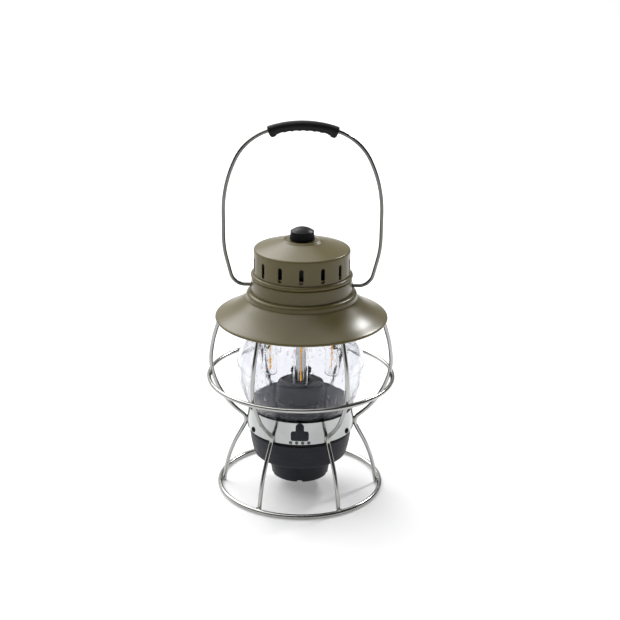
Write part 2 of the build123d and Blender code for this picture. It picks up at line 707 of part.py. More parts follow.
# lamp plate: pressed dish under the roof that carries the lamps and presses on the globe
with BuildPart() as lamp_plate:
    with BuildSketch(Plane.XZ):
        wall_r = SHOULDER_R - SHEET
        add(sheet_section([(TUBE_D / 2, PLATE_Z), (wall_r, PLATE_Z), (wall_r, 202.0)], [2.0], PLATE_T))
    revolve(axis=Axis.Z)
    with BuildSketch(Plane.XY.offset(PLATE_Z - 1)):
        with PolarLocations(LAMP_RADIUS, LAMP_COUNT):
            Circle(2.0)
        with PolarLocations(18, LAMP_COUNT, start_angle=45):
            Circle(4.5)
    extrude(amount=4, mode=Mode.SUBTRACT)
lamp_plate.part.label = "lamp_plate"
export_step(lamp_plate.part, "parts/lamp_plate.step")

# centre tube: the cable's way from the base to the roof
with BuildPart() as centre_tube:
    with BuildSketch(Plane.XY.offset(PUCK_TOP - DECK_WALL)):
        Circle(TUBE_D / 2)
        Circle(TUBE_D / 2 - 1.0, mode=Mode.SUBTRACT)
    extrude(amount=PLATE_Z + 6 - PUCK_TOP + DECK_WALL)
centre_tube.part.label = "centre_tube"
export_step(centre_tube.part, "parts/centre_tube.step")

# tube collet: foot ring with six sprung fingers that grip the centre tube
with BuildPart() as tube_collet:
    with BuildSketch(Plane.XY.offset(PUCK_TOP)):
        Circle(10.6)
        Circle(TUBE_D / 2, mode=Mode.SUBTRACT)
    extrude(amount=2.4)
    for i in range(6):
        with BuildSketch(radial_plane(60 * i + 30)):
            with BuildLine():
                FilletPolyline((TUBE_D / 2, 110), (10.2, 110), (8.6, 113), (8.6, 119), (10.7, 121), (9.8, 123.4),
                               (7.6, 122.8), (TUBE_D / 2, 119), close=True, radius=0.5)
            make_face()
        extrude(amount=2.1, both=True)
    with BuildSketch(Plane.XY.offset(PUCK_TOP)):
        Circle(TUBE_D / 2)
    extrude(amount=20, mode=Mode.SUBTRACT)
tube_collet.part.label = "tube_collet"
export_step(tube_collet.part, "parts/tube_collet.step")

# lamps: four holders under the plate, and in each a glass tube and a filament
HOLDER_BOTTOM = 174.0
TUBE_GLASS = 0.6
with BuildPart() as lamp_holders:
    with BuildSketch(Plane.XY.offset(HOLDER_BOTTOM)):
        with PolarLocations(LAMP_RADIUS, LAMP_COUNT, start_angle=-90):
            Circle(LAMP_D / 2 + 1.2)
    extrude(amount=PLATE_Z - HOLDER_BOTTOM)
    with BuildSketch(Plane.XY.offset(HOLDER_BOTTOM)):
        with PolarLocations(LAMP_RADIUS, LAMP_COUNT, start_angle=-90):
            Circle(LAMP_D / 2)
    extrude(amount=PLATE_Z - 2 - HOLDER_BOTTOM, mode=Mode.SUBTRACT)
lamp_holders.part.label = "lamp_holders"
export_step(lamp_holders.part, "parts/lamp_holders.step")

for i in range(LAMP_COUNT):
    x, y = polar(LAMP_RADIUS, -90 + 360 / LAMP_COUNT * i)
    tube_plane = Plane(origin=(x, y, 0), x_dir=(1, 0, 0), z_dir=(0, -1, 0))
    with BuildPart() as lamp_tube:
        with BuildSketch(tube_plane):
            add(sheet_section([(0, LAMP_BOTTOM), (LAMP_D / 2, LAMP_BOTTOM), (LAMP_D / 2, PLATE_Z - 2)], [2.6],
                              TUBE_GLASS))
        revolve(axis=Axis((x, y, 0), (0, 0, 1)))
    lamp_tube.part.label = f"lamp_tube_{i + 1}"
    export_step(lamp_tube.part, f"parts/lamp_tube_{i + 1}.step")

    with BuildPart() as filament:
        with BuildSketch(Plane.XY.offset(FILAMENT_BOTTOM)):
            with Locations((x, y)):
                Circle(FILAMENT_D / 2)
        extrude(amount=FILAMENT_LENGTH)
        with BuildSketch(Plane.XY.offset(FILAMENT_BOTTOM + FILAMENT_LENGTH - 1)):
            with Locations((x, y)):
                Circle(0.4)
        extrude(amount=PLATE_Z - 2 - FILAMENT_BOTTOM - FILAMENT_LENGTH + 1)
    filament.part.label = f"filament_{i + 1}"
    export_step(filament.part, f"parts/filament_{i + 1}.step")

# main cable: straight up the centre tube, from the charge board to the dimmer board
DIMMER_TOP = CAP_SEAT_Z - SHEET
DIMMER_H = 9.5
DIMMER_FLOOR = DIMMER_TOP - DIMMER_H + 1.5
WIPER_R = 5.0
WIPER_T = 1.9
DIMMER_BOARD_Z = DIMMER_TOP - DIMMER_H - BOARD_T
with BuildPart() as main_cable:
    with BuildSketch(Plane.XY.offset(BOARD_TOP)):
        Circle(2.0)
    extrude(amount=DIMMER_BOARD_Z - BOARD_TOP)
main_cable.part.label = "main_cable"
export_step(main_cable.part, "parts/main_cable.step")

# lamp leads: one thin wire from each lamp holder up to the dimmer board
with BuildPart() as lamp_leads:
    for i in range(LAMP_COUNT):
        with BuildLine(radial_plane(-90 + 360 / LAMP_COUNT * i)) as lead_path:
            FilletPolyline((LAMP_RADIUS, PLATE_Z), (LAMP_RADIUS, 196), (8, 222), (8, DIMMER_BOARD_Z), radius=8)
        with BuildSketch(Plane(origin=lead_path.line @ 0, z_dir=lead_path.line % 0)):
            Circle(0.6)
        sweep(path=lead_path.line)
lamp_leads.part.label = "lamp_leads"
export_step(lamp_leads.part, "parts/lamp_leads.step")

# ---- roof above the brim ----

# roof collar: drawn cup on the brim's step, with a neck that rises inside the vent cap
with BuildPart() as roof_collar:
    with BuildSketch(Plane.XZ):
        add(sheet_section([(COLLAR_R, SHOULDER_Z), (COLLAR_R, COLLAR_TOP), (COLLAR_NECK_R, COLLAR_TOP),
                           (COLLAR_NECK_R, 226.5)], [1.4, 1.0]))
    revolve(axis=Axis.Z)
    with BuildSketch(Plane.YZ.offset(-60)):
        with Locations((0, PIVOT_Z)):
            Circle(2.8)
    extrude(amount=120, mode=Mode.SUBTRACT)
roof_collar.part.label = "roof_collar"
export_step(roof_collar.part, "parts/roof_collar.step")

# bail bushes: flanged eyelets in the collar
with BuildPart() as bail_bushes:
    for side in (-1, 1):
        with BuildSketch(Plane.YZ.offset(side * 46.6)):
            with Locations((0, PIVOT_Z)):
                Circle(2.8)
        extrude(amount=side * 2.2)
        with BuildSketch(Plane.YZ.offset(side * 48.0)):
            with Locations((0, PIVOT_Z)):
                Circle(3.3)
        extrude(amount=side * 0.8)
    with BuildSketch(Plane.YZ.offset(-60)):
        with Locations((0, PIVOT_Z)):
            Circle(BAIL_WIRE / 2 + RUNNING)
    extrude(amount=120, mode=Mode.SUBTRACT)
    add(roof_collar.part, mode=Mode.SUBTRACT)
bail_bushes.part.label = "bail_bushes"
export_step(bail_bushes.part, "parts/bail_bushes.step")

# vent cap: slotted drum with a rolled foot bead, a low cone and a raised ring round the knob
cap_slope = (CAP_RIM_Z - CAP_EDGE_Z) / (CAP_R - CAP_RIM_R)
with BuildPart() as vent_cap:
    with BuildSketch(Plane.XZ):
        add(sheet_section([(CAP_R, CAP_BEAD_Z), (CAP_R, CAP_EDGE_Z), (CAP_RIM_R, CAP_RIM_Z),
                           (CAP_CREST_R, CAP_CREST_Z), (CAP_SEAT_R, CAP_SEAT_Z), (BUSH_R, CAP_SEAT_Z)],
                          [2.0, 1.4, 1.1, 1.0]))
        with Locations((CAP_R + 0.6, CAP_BEAD_Z)):
            Circle(2.2)
        with Locations((CAP_R, COLLAR_TOP - 1)):
            Rectangle(12, 2, mode=Mode.SUBTRACT)
    revolve(axis=Axis.Z)
    for i in range(SLOT_COUNT):
        with BuildSketch(facing_plane(-90 + 360 / SLOT_COUNT * i, 42, SLOT_Z)):
            SlotOverall(SLOT_LENGTH, SLOT_WIDTH, rotation=90)
        extrude(amount=8, mode=Mode.SUBTRACT)
vent_cap.part.label = "vent_cap"
export_step(vent_cap.part, "parts/vent_cap.step")

# vent baffle: inner drum behind the slots, standing up to the cap's underside
BAFFLE_R = 38.0
BAFFLE_BOTTOM = 220.0
with BuildPart() as vent_baffle:
    with BuildSketch(Plane.XY.offset(BAFFLE_BOTTOM)):
        Circle(BAFFLE_R)
        Circle(BAFFLE_R - SHEET, mode=Mode.SUBTRACT)
    extrude(amount=CAP_RIM_Z - BAFFLE_BOTTOM)
    with BuildSketch(Plane.XZ):
        with BuildLine():
            drop = SHEET * (1 + cap_slope ** 2) ** 0.5
            Polyline((CAP_R, CAP_EDGE_Z - drop), (CAP_RIM_R, CAP_RIM_Z - drop), (CAP_RIM_R, KNOB_TOP),
                     (CAP_R, KNOB_TOP), close=True)
        make_face()
    revolve(axis=Axis.Z, mode=Mode.SUBTRACT)
vent_baffle.part.label = "vent_baffle"
export_step(vent_baffle.part, "parts/vent_baffle.step")

# ---- dimmer ----

# dimmer control: square body under the cap with a threaded bush through it
with BuildPart() as dimmer_body:
    with BuildSketch(Plane.XY.offset(DIMMER_TOP - DIMMER_H)):
        RectangleRounded(17, 17, 1.5)
    extrude(amount=DIMMER_H)
    with BuildSketch(Plane.XY.offset(DIMMER_TOP)):
        Circle(BUSH_R - RUNNING)
    extrude(amount=4.6)
    with BuildSketch(Plane.XY.offset(DIMMER_FLOOR)):
        Circle(SHAFT_R + RUNNING)
    extrude(amount=20, mode=Mode.SUBTRACT)
    with BuildSketch(Plane.XY.offset(DIMMER_FLOOR)):
        Circle(WIPER_R + RUNNING)
    extrude(amount=WIPER_T + 0.2, mode=Mode.SUBTRACT)
dimmer_body.part.label = "dimmer_body"
export_step(dimmer_body.part, "parts/dimmer_body.step")

# dimmer shaft: turns in the bush, with a wiper disc inside the body
with BuildPart() as dimmer_shaft:
    with BuildSketch(Plane.XY.offset(DIMMER_FLOOR + 0.1)):
        Circle(SHAFT_R)
    extrude(amount=SHAFT_TOP - DIMMER_FLOOR - 0.1)
    with BuildSketch(Plane.XY.offset(DIMMER_FLOOR + 0.1)):
        Circle(WIPER_R)
    extrude(amount=WIPER_T)
dimmer_shaft.part.label = "dimmer_shaft"
export_step(dimmer_shaft.part, "parts/dimmer_shaft.step")

# washer and nut that clamp the control to the cap
WASHER_T = 0.5
with BuildPart() as dimmer_washer:
    with BuildSketch(Plane.XY.offset(CAP_SEAT_Z)):
        Circle(6.0)
        Circle(BUSH_R - RUNNING, mode=Mode.SUBTRACT)
    extrude(amount=WASHER_T)
dimmer_washer.part.label = "dimmer_washer"
export_step(dimmer_washer.part, "parts/dimmer_washer.step")

with BuildPart() as dimmer_nut:
    with BuildSketch(Plane.XY.offset(CAP_SEAT_Z + WASHER_T)):
        RegularPolygon(5.0, 6, major_radius=False)
        Circle(BUSH_R - RUNNING, mode=Mode.SUBTRACT)
    extrude(amount=2.0)
dimmer_nut.part.label = "dimmer_nut"
export_step(dimmer_nut.part, "parts/dimmer_nut.step")

# dimmer board, soldered under the control, with its driver chips
with BuildPart() as dimmer_board:
    with BuildSketch(Plane.XY.offset(DIMMER_BOARD_Z)):
        RectangleRounded(28, 24, 2)
    extrude(amount=BOARD_T)
    with BuildSketch(Plane.XY.offset(DIMMER_BOARD_Z + BOARD_T)):
        with Locations((-11, 0), (11, 4)):
            Rectangle(3.6, 5)
    extrude(amount=1.5)
dimmer_board.part.label = "dimmer_board"
export_step(dimmer_board.part, "parts/dimmer_board.step")

# dimmer knob: tapered knurled skirt with a domed top, hollow below for the nut
dome_r = (KNOB_TOP_R ** 2 + (KNOB_TOP - KNOB_SHOULDER_Z) ** 2) / (2 * (KNOB_TOP - KNOB_SHOULDER_Z))
with BuildPart() as dimmer_knob:
    with BuildSketch(Plane.XZ):
        with BuildLine():
            Polyline((0, KNOB_TOP), (0, KNOB_HOLLOW_Z), (KNOB_HOLLOW_R, KNOB_HOLLOW_Z), (KNOB_HOLLOW_R, KNOB_BOTTOM),
                     (KNOB_BOTTOM_R, KNOB_BOTTOM), (KNOB_TOP_R + 0.2, KNOB_FLARE_Z), (KNOB_TOP_R, KNOB_SHOULDER_Z))
            RadiusArc((KNOB_TOP_R, KNOB_SHOULDER_Z), (0, KNOB_TOP), -dome_r)
        make_face()
    revolve(axis=Axis.Z)
    with BuildSketch(Plane.XY.offset(KNOB_BOTTOM + 1.0)):
        with PolarLocations(KNOB_BOTTOM_R - 0.2, KNURL_COUNT):
            Rectangle(1.6, 0.5)
    extrude(amount=KNOB_SHOULDER_Z - KNOB_BOTTOM - 1.5, mode=Mode.SUBTRACT)
    with BuildSketch(Plane.XY.offset(KNOB_HOLLOW_Z)):
        Circle(SHAFT_R)
    extrude(amount=SHAFT_TOP - KNOB_HOLLOW_Z, mode=Mode.SUBTRACT)
dimmer_knob.part.label = "dimmer_knob"
export_step(dimmer_knob.part, "parts/dimmer_knob.step")

# ---- bail ----

# bail wire: from one pivot up round the roof to the other, headed inside the collar at each end
bail_side = [(44.4, PIVOT_Z), (65.3, PIVOT_Z), (74.6, 246.0), (74.6, 306.7), (53.1, 352.6), (15.3, BAIL_TOP_Z)]
bail_radii = [14, 88, 115, 52.5, 104]
bail_points = [(-x, z) for x, z in bail_side] + [(x, z) for x, z in reversed(bail_side)]
with BuildPart() as bail_wire:
    with BuildLine(Plane.XZ) as bail_path:
        FilletPolyline(*bail_points, radius=bail_radii + bail_radii[::-1])
    with BuildSketch(Plane(origin=bail_path.line @ 0, z_dir=bail_path.line % 0)):
        Circle(BAIL_WIRE / 2)
    sweep()
    for side in (-1, 1):
        with BuildSketch(Plane.YZ.offset(side * 44.4)):
            with Locations((0, PIVOT_Z)):
                Circle(2.9)
        extrude(amount=side * 1.2)
bail_wire.part.label = "bail_wire"
export_step(bail_wire.part, "parts/bail_wire.step")

# bail grip: moulded sleeve that follows the top of the bail, with finger scallops and end lobes below
GRIP_CENTRE_Z = BAIL_TOP_Z - GRIP_ARC_R
SCALLOP_COUNT = 7
SCALLOP_PITCH = 7.0
SCALLOP_R = 6.3
SCALLOP_DEPTH = 0.5
LOBE_R = 4.2
LOBE_Z = 355.9
with BuildPart() as bail_grip:
    half_turn = degrees(GRIP_HALF / GRIP_ARC_R)
    with BuildLine(Plane.XZ) as grip_path:
        CenterArc((0, GRIP_CENTRE_Z), GRIP_ARC_R, 90 - half_turn, 2 * half_turn)
    with BuildSketch(Plane(origin=grip_path.line @ 0, z_dir=grip_path.line % 0)):
        Circle(GRIP_R)
    sweep()
    for side in (-1, 1):
        with Locations((side * (GRIP_HALF - LOBE_R), 0, LOBE_Z)):
            Sphere(LOBE_R)
    for k in range(SCALLOP_COUNT):
        x = SCALLOP_PITCH * (k - (SCALLOP_COUNT - 1) / 2)
        lowest = GRIP_CENTRE_Z + (GRIP_ARC_R ** 2 - x ** 2) ** 0.5 - GRIP_R
        with Locations((x, 0, lowest - SCALLOP_R + SCALLOP_DEPTH)):
            Cylinder(SCALLOP_R, 4 * GRIP_R, rotation=(90, 0, 0), mode=Mode.SUBTRACT)
    add(bail_wire.part, mode=Mode.SUBTRACT)
bail_grip.part.label = "bail_grip"
export_step(bail_grip.part, "parts/bail_grip.step")
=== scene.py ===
import json
from math import acos, atan2, ceil, cos, degrees, exp, pi, radians, sin, sqrt, tan, tau

import bmesh
import bpy
from mathutils import Matrix, Vector, noise


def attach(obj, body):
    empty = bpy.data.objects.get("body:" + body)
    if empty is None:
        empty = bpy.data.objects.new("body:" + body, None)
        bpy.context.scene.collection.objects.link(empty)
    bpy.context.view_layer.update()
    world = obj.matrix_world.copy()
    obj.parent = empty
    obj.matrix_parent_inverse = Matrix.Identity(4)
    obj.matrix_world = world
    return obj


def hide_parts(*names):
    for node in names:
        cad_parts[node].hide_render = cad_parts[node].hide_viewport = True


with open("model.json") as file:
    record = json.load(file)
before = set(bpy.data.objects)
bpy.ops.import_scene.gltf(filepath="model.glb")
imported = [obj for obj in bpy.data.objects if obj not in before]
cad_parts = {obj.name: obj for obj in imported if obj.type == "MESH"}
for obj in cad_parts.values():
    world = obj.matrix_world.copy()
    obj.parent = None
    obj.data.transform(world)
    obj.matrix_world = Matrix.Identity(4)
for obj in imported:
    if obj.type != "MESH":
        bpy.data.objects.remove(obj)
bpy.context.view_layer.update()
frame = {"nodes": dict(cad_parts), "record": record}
scene = bpy.context.scene

# A railroad-style camping lantern. Sizes below are in millimetres in the row frame, with the origin on the
# ground at the lantern's axis, +Z up and the charging port facing -Y. Profiles are (radius, height) points.
MM = 0.001
AXIS_Z = Vector((0, 0, 1))
FRONT = -90.0

# -------------------------------- lines


def rounded(points, radii, turn_step=8.0, closed=False):
    """The points of a line with each corner turned into an arc of its radius."""
    pts = [Vector(p) for p in points]
    count = len(pts)
    if isinstance(radii, (int, float)):
        radii = [radii] * (count if closed else count - 2)
    out = []
    for i, p in enumerate(pts):
        if not closed and i in (0, count - 1):
            out.append(tuple(p))
            continue
        radius = radii[i] if closed else radii[i - 1]
        u = (pts[i - 1] - p).normalized()
        v = (pts[(i + 1) % count] - p).normalized()
        turn = pi - acos(max(-1.0, min(1.0, u.dot(v))))
        if radius <= 0 or turn < 1e-3:
            out.append(tuple(p))
            continue
        reach = radius * tan(turn / 2)
        centre = p + (u + v).normalized() * (radius / cos(turn / 2))
        start, end = p + u * reach - centre, p + v * reach - centre
        first = atan2(start.y, start.x)
        sweep = (atan2(end.y, end.x) - first + pi) % tau - pi
        steps = max(2, ceil(degrees(turn) / turn_step))
        for k in range(steps + 1):
            a = first + sweep * k / steps
            out.append((centre.x + radius * cos(a), centre.y + radius * sin(a)))
    return out


def arc(centre, radius, start, end, steps):
    """Points on an arc, its angles in degrees from the first axis."""
    out = []
    for k in range(steps + 1):
        a = radians(start + (end - start) * k / steps)
        out.append((centre[0] + radius * cos(a), centre[1] + radius * sin(a)))
    return out


def shifted(line, distance, closed=False):
    """A line moved sideways, to its left for a positive distance."""
    pts = [Vector(p) for p in line]
    count = len(pts)
    out = []
    for i, p in enumerate(pts):
        before = pts[i - 1] if (i or closed) else None
        after = pts[(i + 1) % count] if (i < count - 1 or closed) else None
        normals = []
        for a, b in ((before, p), (p, after)):
            if a is not None and b is not None and (b - a).length > 1e-9:
                d = (b - a).normalized()
                normals.append(Vector((-d.y, d.x)))
        n = (normals[0] + normals[-1]).normalized()
        out.append(tuple(p + n * (distance / max(0.35, n.dot(normals[0])))))
    return out


def sheet(points, radii, thickness, turn_step=8.0):
    """The closed section of a pressed sheet. The points give its outer line, with the metal to the left."""
    outer = rounded(points, radii, turn_step)
    return outer + shifted(outer, thickness)[::-1]


def split(line, longest, closed=False):
    """A line with its long spans divided, so that its surface can carry detail."""
    out = []
    pairs = list(zip(line, line[1:] + (line[:1] if closed else [])))
    for a, b in pairs if closed else pairs[: len(line) - 1]:
        steps = max(1, ceil((Vector(b) - Vector(a)).length / longest))
        out += [tuple(Vector(a).lerp(Vector(b), k / steps)) for k in range(steps)]
    return out if closed else out + [line[-1]]


# -------------------------------- solids: (corners, faces) in millimetres


def merge(*parts):
    verts, faces = [], []
    for v, f in parts:
        start = len(verts)
        verts += v
        faces += [tuple(i + start for i in face) for face in f]
    return verts, faces


def moved(part, matrix):
    return [tuple(matrix @ Vector(v)) for v in part[0]], part[1]


def turned(line, segments=256, closed=True, wobble=None):
    """A line turned about the Z axis. wobble gives extra radius from a point's angle, index and height."""
    verts, faces = [], []
    m = len(line)
    for k in range(segments):
        a = tau * k / segments
        for i, (r, z) in enumerate(line):
            rr = r + (wobble(a, i, z) if wobble else 0.0)
            verts.append((rr * cos(a), rr * sin(a), z))
    for k in range(segments):
        n = (k + 1) % segments
        for i in range(m if closed else m - 1):
            j = (i + 1) % m
            faces.append((k * m + i, n * m + i, n * m + j, k * m + j))
    return verts, faces


def loft(rings, caps=True):
    """Rings of equally many points joined in order."""
    verts = [tuple(p) for ring in rings for p in ring]
    m = len(rings[0])
    faces = []
    for k in range(len(rings) - 1):
        n = k + 1
        for i in range(m):
            j = (i + 1) % m
            faces.append((k * m + i, n * m + i, n * m + j, k * m + j))
    if caps:
        last = (len(rings) - 1) * m
        faces += [tuple(range(m)), tuple(last + i for i in reversed(range(m)))]
    return verts, faces


def swept(path, radius, side, round_around=24, ends=0.0):
    """A round wire along a flat path. side is the path plane's normal, ends the roundness of its tips."""
    pts = [Vector(p) for p in path]
    rings = []
    for i, p in enumerate(pts):
        tangent = (pts[min(i + 1, len(pts) - 1)] - pts[max(i - 1, 0)]).normalized()
        up = side.cross(tangent)
        steps = [(0.0, radius)]
        if ends and i in (0, len(pts) - 1):
            steps = [(ends * (1 - cos(a)), radius - ends + ends * sin(a)) for a in (0.0, 0.5, 1.0, pi / 2)]
            steps = steps if i == 0 else steps[::-1]
        for back, r in steps:
            shift = tangent * (back if i == 0 else -back)
            angles = [tau * k / round_around for k in range(round_around)]
            rings.append([p + shift + (side * cos(a) + up * sin(a)) * r for a in angles])
    return loft(rings)


def slab(outline, low, high, edge=0.2, steps=3):
    """A plate with rounded edges: an outline in X and Y raised from low to high. It runs anticlockwise."""
    rings = []
    for k in range(steps + 1):
        a = pi / 2 * k / steps
        rings.append((edge * (1 - sin(a)), low + edge * (1 - cos(a))))
    rings += [(inset, low + high - z) for inset, z in reversed(rings)]
    return loft([[(x, y, z) for x, y in shifted(outline, inset, True)] for inset, z in rings])


def box(low, high, edge=0.0):
    """A block between two corners."""
    outline = [(low[0], low[1]), (high[0], low[1]), (high[0], high[1]), (low[0], high[1])]
    if edge:
        return slab(rounded(outline, edge, 30, True), low[2], high[2], edge * 0.8)
    return loft([[(x, y, z) for x, y in outline] for z in (low[2], high[2])])


def rod(radius, low, high, segments=32):
    """A round bar along Z."""
    angles = [tau * k / segments for k in range(segments)]
    return loft([[(radius * cos(a), radius * sin(a), z) for a in angles] for z in (low, high)])


def facing(azimuth, radius=0.0, height=0.0):
    """A plane facing outward from the axis: local X runs sideways, Y runs up and Z runs outward."""
    a = radians(azimuth)
    out, side = Vector((cos(a), sin(a), 0)), Vector((-sin(a), cos(a), 0))
    turn = Matrix((side, AXIS_Z, out)).transposed().to_4x4()
    return Matrix.Translation(out * radius + AXIS_Z * height) @ turn


def upright(azimuth):
    """A plane through the axis: local X runs outward, Y runs up and Z runs sideways."""
    a = radians(azimuth)
    out = Vector((cos(a), sin(a), 0))
    return Matrix((out, AXIS_Z, out.cross(AXIS_Z))).transposed().to_4x4()


def bead(centre, size, seed, turn=Matrix()):
    """A small uneven weld bead."""
    rows, around, unevenness = 10, 16, 0.22
    verts = []
    for i in range(rows + 1):
        for k in range(around):
            a, b = pi * i / rows, tau * k / around
            d = Vector((sin(a) * cos(b), sin(a) * sin(b), cos(a)))
            d *= 1 + unevenness * noise.noise(d * 1.7 + Vector((seed * 3.1, 0, 0)))
            verts.append(tuple(Vector(centre) + turn @ (d * Vector(size))))
    faces = []
    for i in range(rows):
        for k in range(around):
            low, high, n = i * around, (i + 1) * around, (k + 1) % around
            faces.append((low + k, high + k, high + n, low + n))
    return verts, faces


# -------------------------------- pieces


def piece(name, part, look, body, stands_for=(), sharp=35.0):
    """Puts a solid in the scene as a smooth mesh, on its body, with its material."""
    mesh = bpy.data.meshes.new(name)
    mesh.from_pydata([(x * MM, y * MM, z * MM) for x, y, z in part[0]], [], part[1])
    bm = bmesh.new()
    bm.from_mesh(mesh)
    bmesh.ops.remove_doubles(bm, verts=bm.verts, dist=1e-7)
    bmesh.ops.dissolve_degenerate(bm, edges=bm.edges, dist=1e-8)
    bmesh.ops.recalc_face_normals(bm, faces=bm.faces)
    bm.to_mesh(mesh)
    bm.free()
    smooth(mesh, sharp)
    obj = bpy.data.objects.new(name, mesh)
    scene.collection.objects.link(obj)
    mesh.materials.append(look)
    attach(obj, body)
    if stands_for:
        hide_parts(*([stands_for] if isinstance(stands_for, str) else stands_for))
    return obj


def smooth(mesh, sharp):
    mesh.shade_smooth()
    mesh.set_sharp_from_angle(angle=radians(sharp))


def cut(obj, *parts, sharp=35.0):
    """Takes solids out of a piece."""
    knife_mesh = bpy.data.meshes.new("knife")
    verts, faces = merge(*parts)
    knife_mesh.from_pydata([(x * MM, y * MM, z * MM) for x, y, z in verts], [], faces)
    bm = bmesh.new()
    bm.from_mesh(knife_mesh)
    bmesh.ops.recalc_face_normals(bm, faces=bm.faces)
    bm.to_mesh(knife_mesh)
    bm.free()
    knife = bpy.data.objects.new("knife", knife_mesh)
    scene.collection.objects.link(knife)
    modifier = obj.modifiers.new("cut", "BOOLEAN")
    modifier.operation, modifier.solver, modifier.object = "DIFFERENCE", "EXACT", knife
    bpy.context.view_layer.update()
    graph = bpy.context.evaluated_depsgraph_get()
    result = bpy.data.meshes.new_from_object(obj.evaluated_get(graph))
    obj.modifiers.clear()
    bpy.data.objects.remove(knife)
    look = obj.data.materials[0]
    obj.data = result
    result.materials.clear()
    result.materials.append(look)
    smooth(result, sharp)


def round_normals(obj, radii, tolerance=0.02):
    """Gives faces on cylinders of these radii their exact normals, so that long faces shade evenly."""
    mesh = obj.data
    normals = []
    corner_normals = [Vector(c.vector) for c in mesh.corner_normals]
    for poly in mesh.polygons:
        points = [mesh.vertices[mesh.loops[i].vertex_index].co / MM for i in poly.loop_indices]
        on = [r for r in radii if all(abs(sqrt(p.x * p.x + p.y * p.y) - r) < tolerance for p in points)]
        for p, i in zip(points, poly.loop_indices):
            out = Vector((p.x, p.y, 0)).normalized()
            if on and abs(poly.normal.z) < 0.2:
                normals.append(out if poly.normal.dot(out) > 0 else -out)
            else:
                normals.append(corner_normals[i])
    mesh.normals_split_custom_set(normals)


# -------------------------------- materials


class Look:
    """A Principled material put together from noise, ramps and bumps in object space."""

    def __init__(self, name, colour, roughness, metallic=0.0, **inputs):
        self.material = bpy.data.materials.new(name)
        self.material.use_nodes = True
        self.tree = self.material.node_tree
        self.shader = self.tree.nodes["Principled BSDF"]
        self.coords = self.tree.nodes.new("ShaderNodeTexCoord").outputs["Object"]
        self.material.diffuse_color = (*colour, 1)
        self.set("Base Color", (*colour, 1))
        self.set("Roughness", roughness)
        self.set("Metallic", metallic)
        for key, value in inputs.items():
            self.set(key.replace("_", " "), value)
        self.height = None

    def set(self, key, value):
        self.shader.inputs[key].default_value = value

    def node(self, kind, links=(), **values):
        made = self.tree.nodes.new(kind)
        for key, value in values.items():
            if hasattr(made, key):
                setattr(made, key, value)
            else:
                made.inputs[key.replace("_", " ")].default_value = value
        for key, source in dict(links).items():
            self.tree.links.new(source, made.inputs[key])
        return made

    def noise(self, scale, detail=3.0, stretch=(1, 1, 1), rough=0.55, offset=0.0):
        """Noise with features of about 1000 / scale mm, drawn out along an axis by a small stretch."""
        at = self.node("ShaderNodeMapping", {"Vector": self.coords})
        at.inputs["Scale"].default_value = stretch
        at.inputs["Location"].default_value = (offset, offset * 0.7, offset * 0.3)
        return self.node("ShaderNodeTexNoise", {"Vector": at.outputs[0]}, Scale=scale, Detail=detail,
                         Roughness=rough).outputs["Fac"]

    def span(self, source, low, high, start=0.3, end=0.7):
        return self.node("ShaderNodeMapRange", {"Value": source}, From_Min=start, From_Max=end, To_Min=low,
                         To_Max=high).outputs["Result"]

    def tint(self, source, *stops):
        """Colours the surface by a value, through (place, colour) stops."""
        ramp = self.node("ShaderNodeValToRGB", {"Fac": source})
        points = ramp.color_ramp.elements
        while len(points) < len(stops):
            points.new(0.5)
        for element, (place, colour) in zip(points, stops):
            element.position, element.color = place, (*colour, 1)
        return ramp.outputs["Color"]

    def mix(self, share, a, b):
        made = self.tree.nodes.new("ShaderNodeMix")
        made.data_type = "RGBA"
        self.tree.links.new(share, made.inputs["Factor"])
        for key, value in ((6, a), (7, b)):
            if isinstance(value, tuple):
                made.inputs[key].default_value = (*value, 1)
            else:
                self.tree.links.new(value, made.inputs[key])
        return made.outputs[2]

    def link(self, key, source):
        self.tree.links.new(source, self.shader.inputs[key])

    def bump(self, source, depth, strength=1.0):
        """Adds a height in millimetres to the surface."""
        links = {"Height": source}
        if self.height is not None:
            links["Normal"] = self.height
        made = self.node("ShaderNodeBump", links, Strength=strength, Distance=depth * MM)
        self.height = made.outputs["Normal"]
        self.link("Normal", self.height)

    def math(self, operation, a, b):
        return self.node("ShaderNodeMath", {0: a, 1: b}, operation=operation).outputs[0]

    def z(self):
        """The height above the ground, in metres."""
        return self.node("ShaderNodeSeparateXYZ", {"Vector": self.coords}).outputs["Z"]

    def edge_pointiness(self):
        """A value that is high on outer edges and low in hollows."""
        return self.tree.nodes.new("ShaderNodeNewGeometry").outputs["Pointiness"]


def painted(name, dark, light, edge, roughness, shine):
    """Sprayed enamel: a slight cloudiness, and a lighter colour on outer edges, partly thinner paint there and
    partly a painted edge highlight.
    """
    look = Look(name, light, roughness, Specular_IOR_Level=shine)
    cloud = look.tint(look.noise(9, 0), (0.2, dark), (0.8, light))
    # painted highlight: outer edges are mixed toward the lighter edge colour, which also stands for thinner
    # paint on them
    edge_highlight_and_wear = look.span(look.edge_pointiness(), 0.0, 0.55, 0.52, 0.60)
    look.link("Base Color", look.mix(edge_highlight_and_wear, cloud, edge))
    look.link("Roughness", look.span(look.noise(14, 0, offset=3.0), roughness - 0.02, roughness + 0.02))
    return look.material


def metal(name, dark, light, roughness, stretch=(1, 1, 1), grain=0.01, scale=900):
    """Bare or plated metal with a fine drawn or brushed grain."""
    look = Look(name, light, roughness, 1.0)
    look.link("Base Color", look.tint(look.noise(60, 3), (0.3, dark), (0.7, light)))
    look.link("Roughness", look.span(look.noise(scale, 3, stretch), roughness - 0.06, roughness + 0.05))
    look.bump(look.noise(scale, 4, stretch, offset=5.0), grain, 0.35)
    return look.material


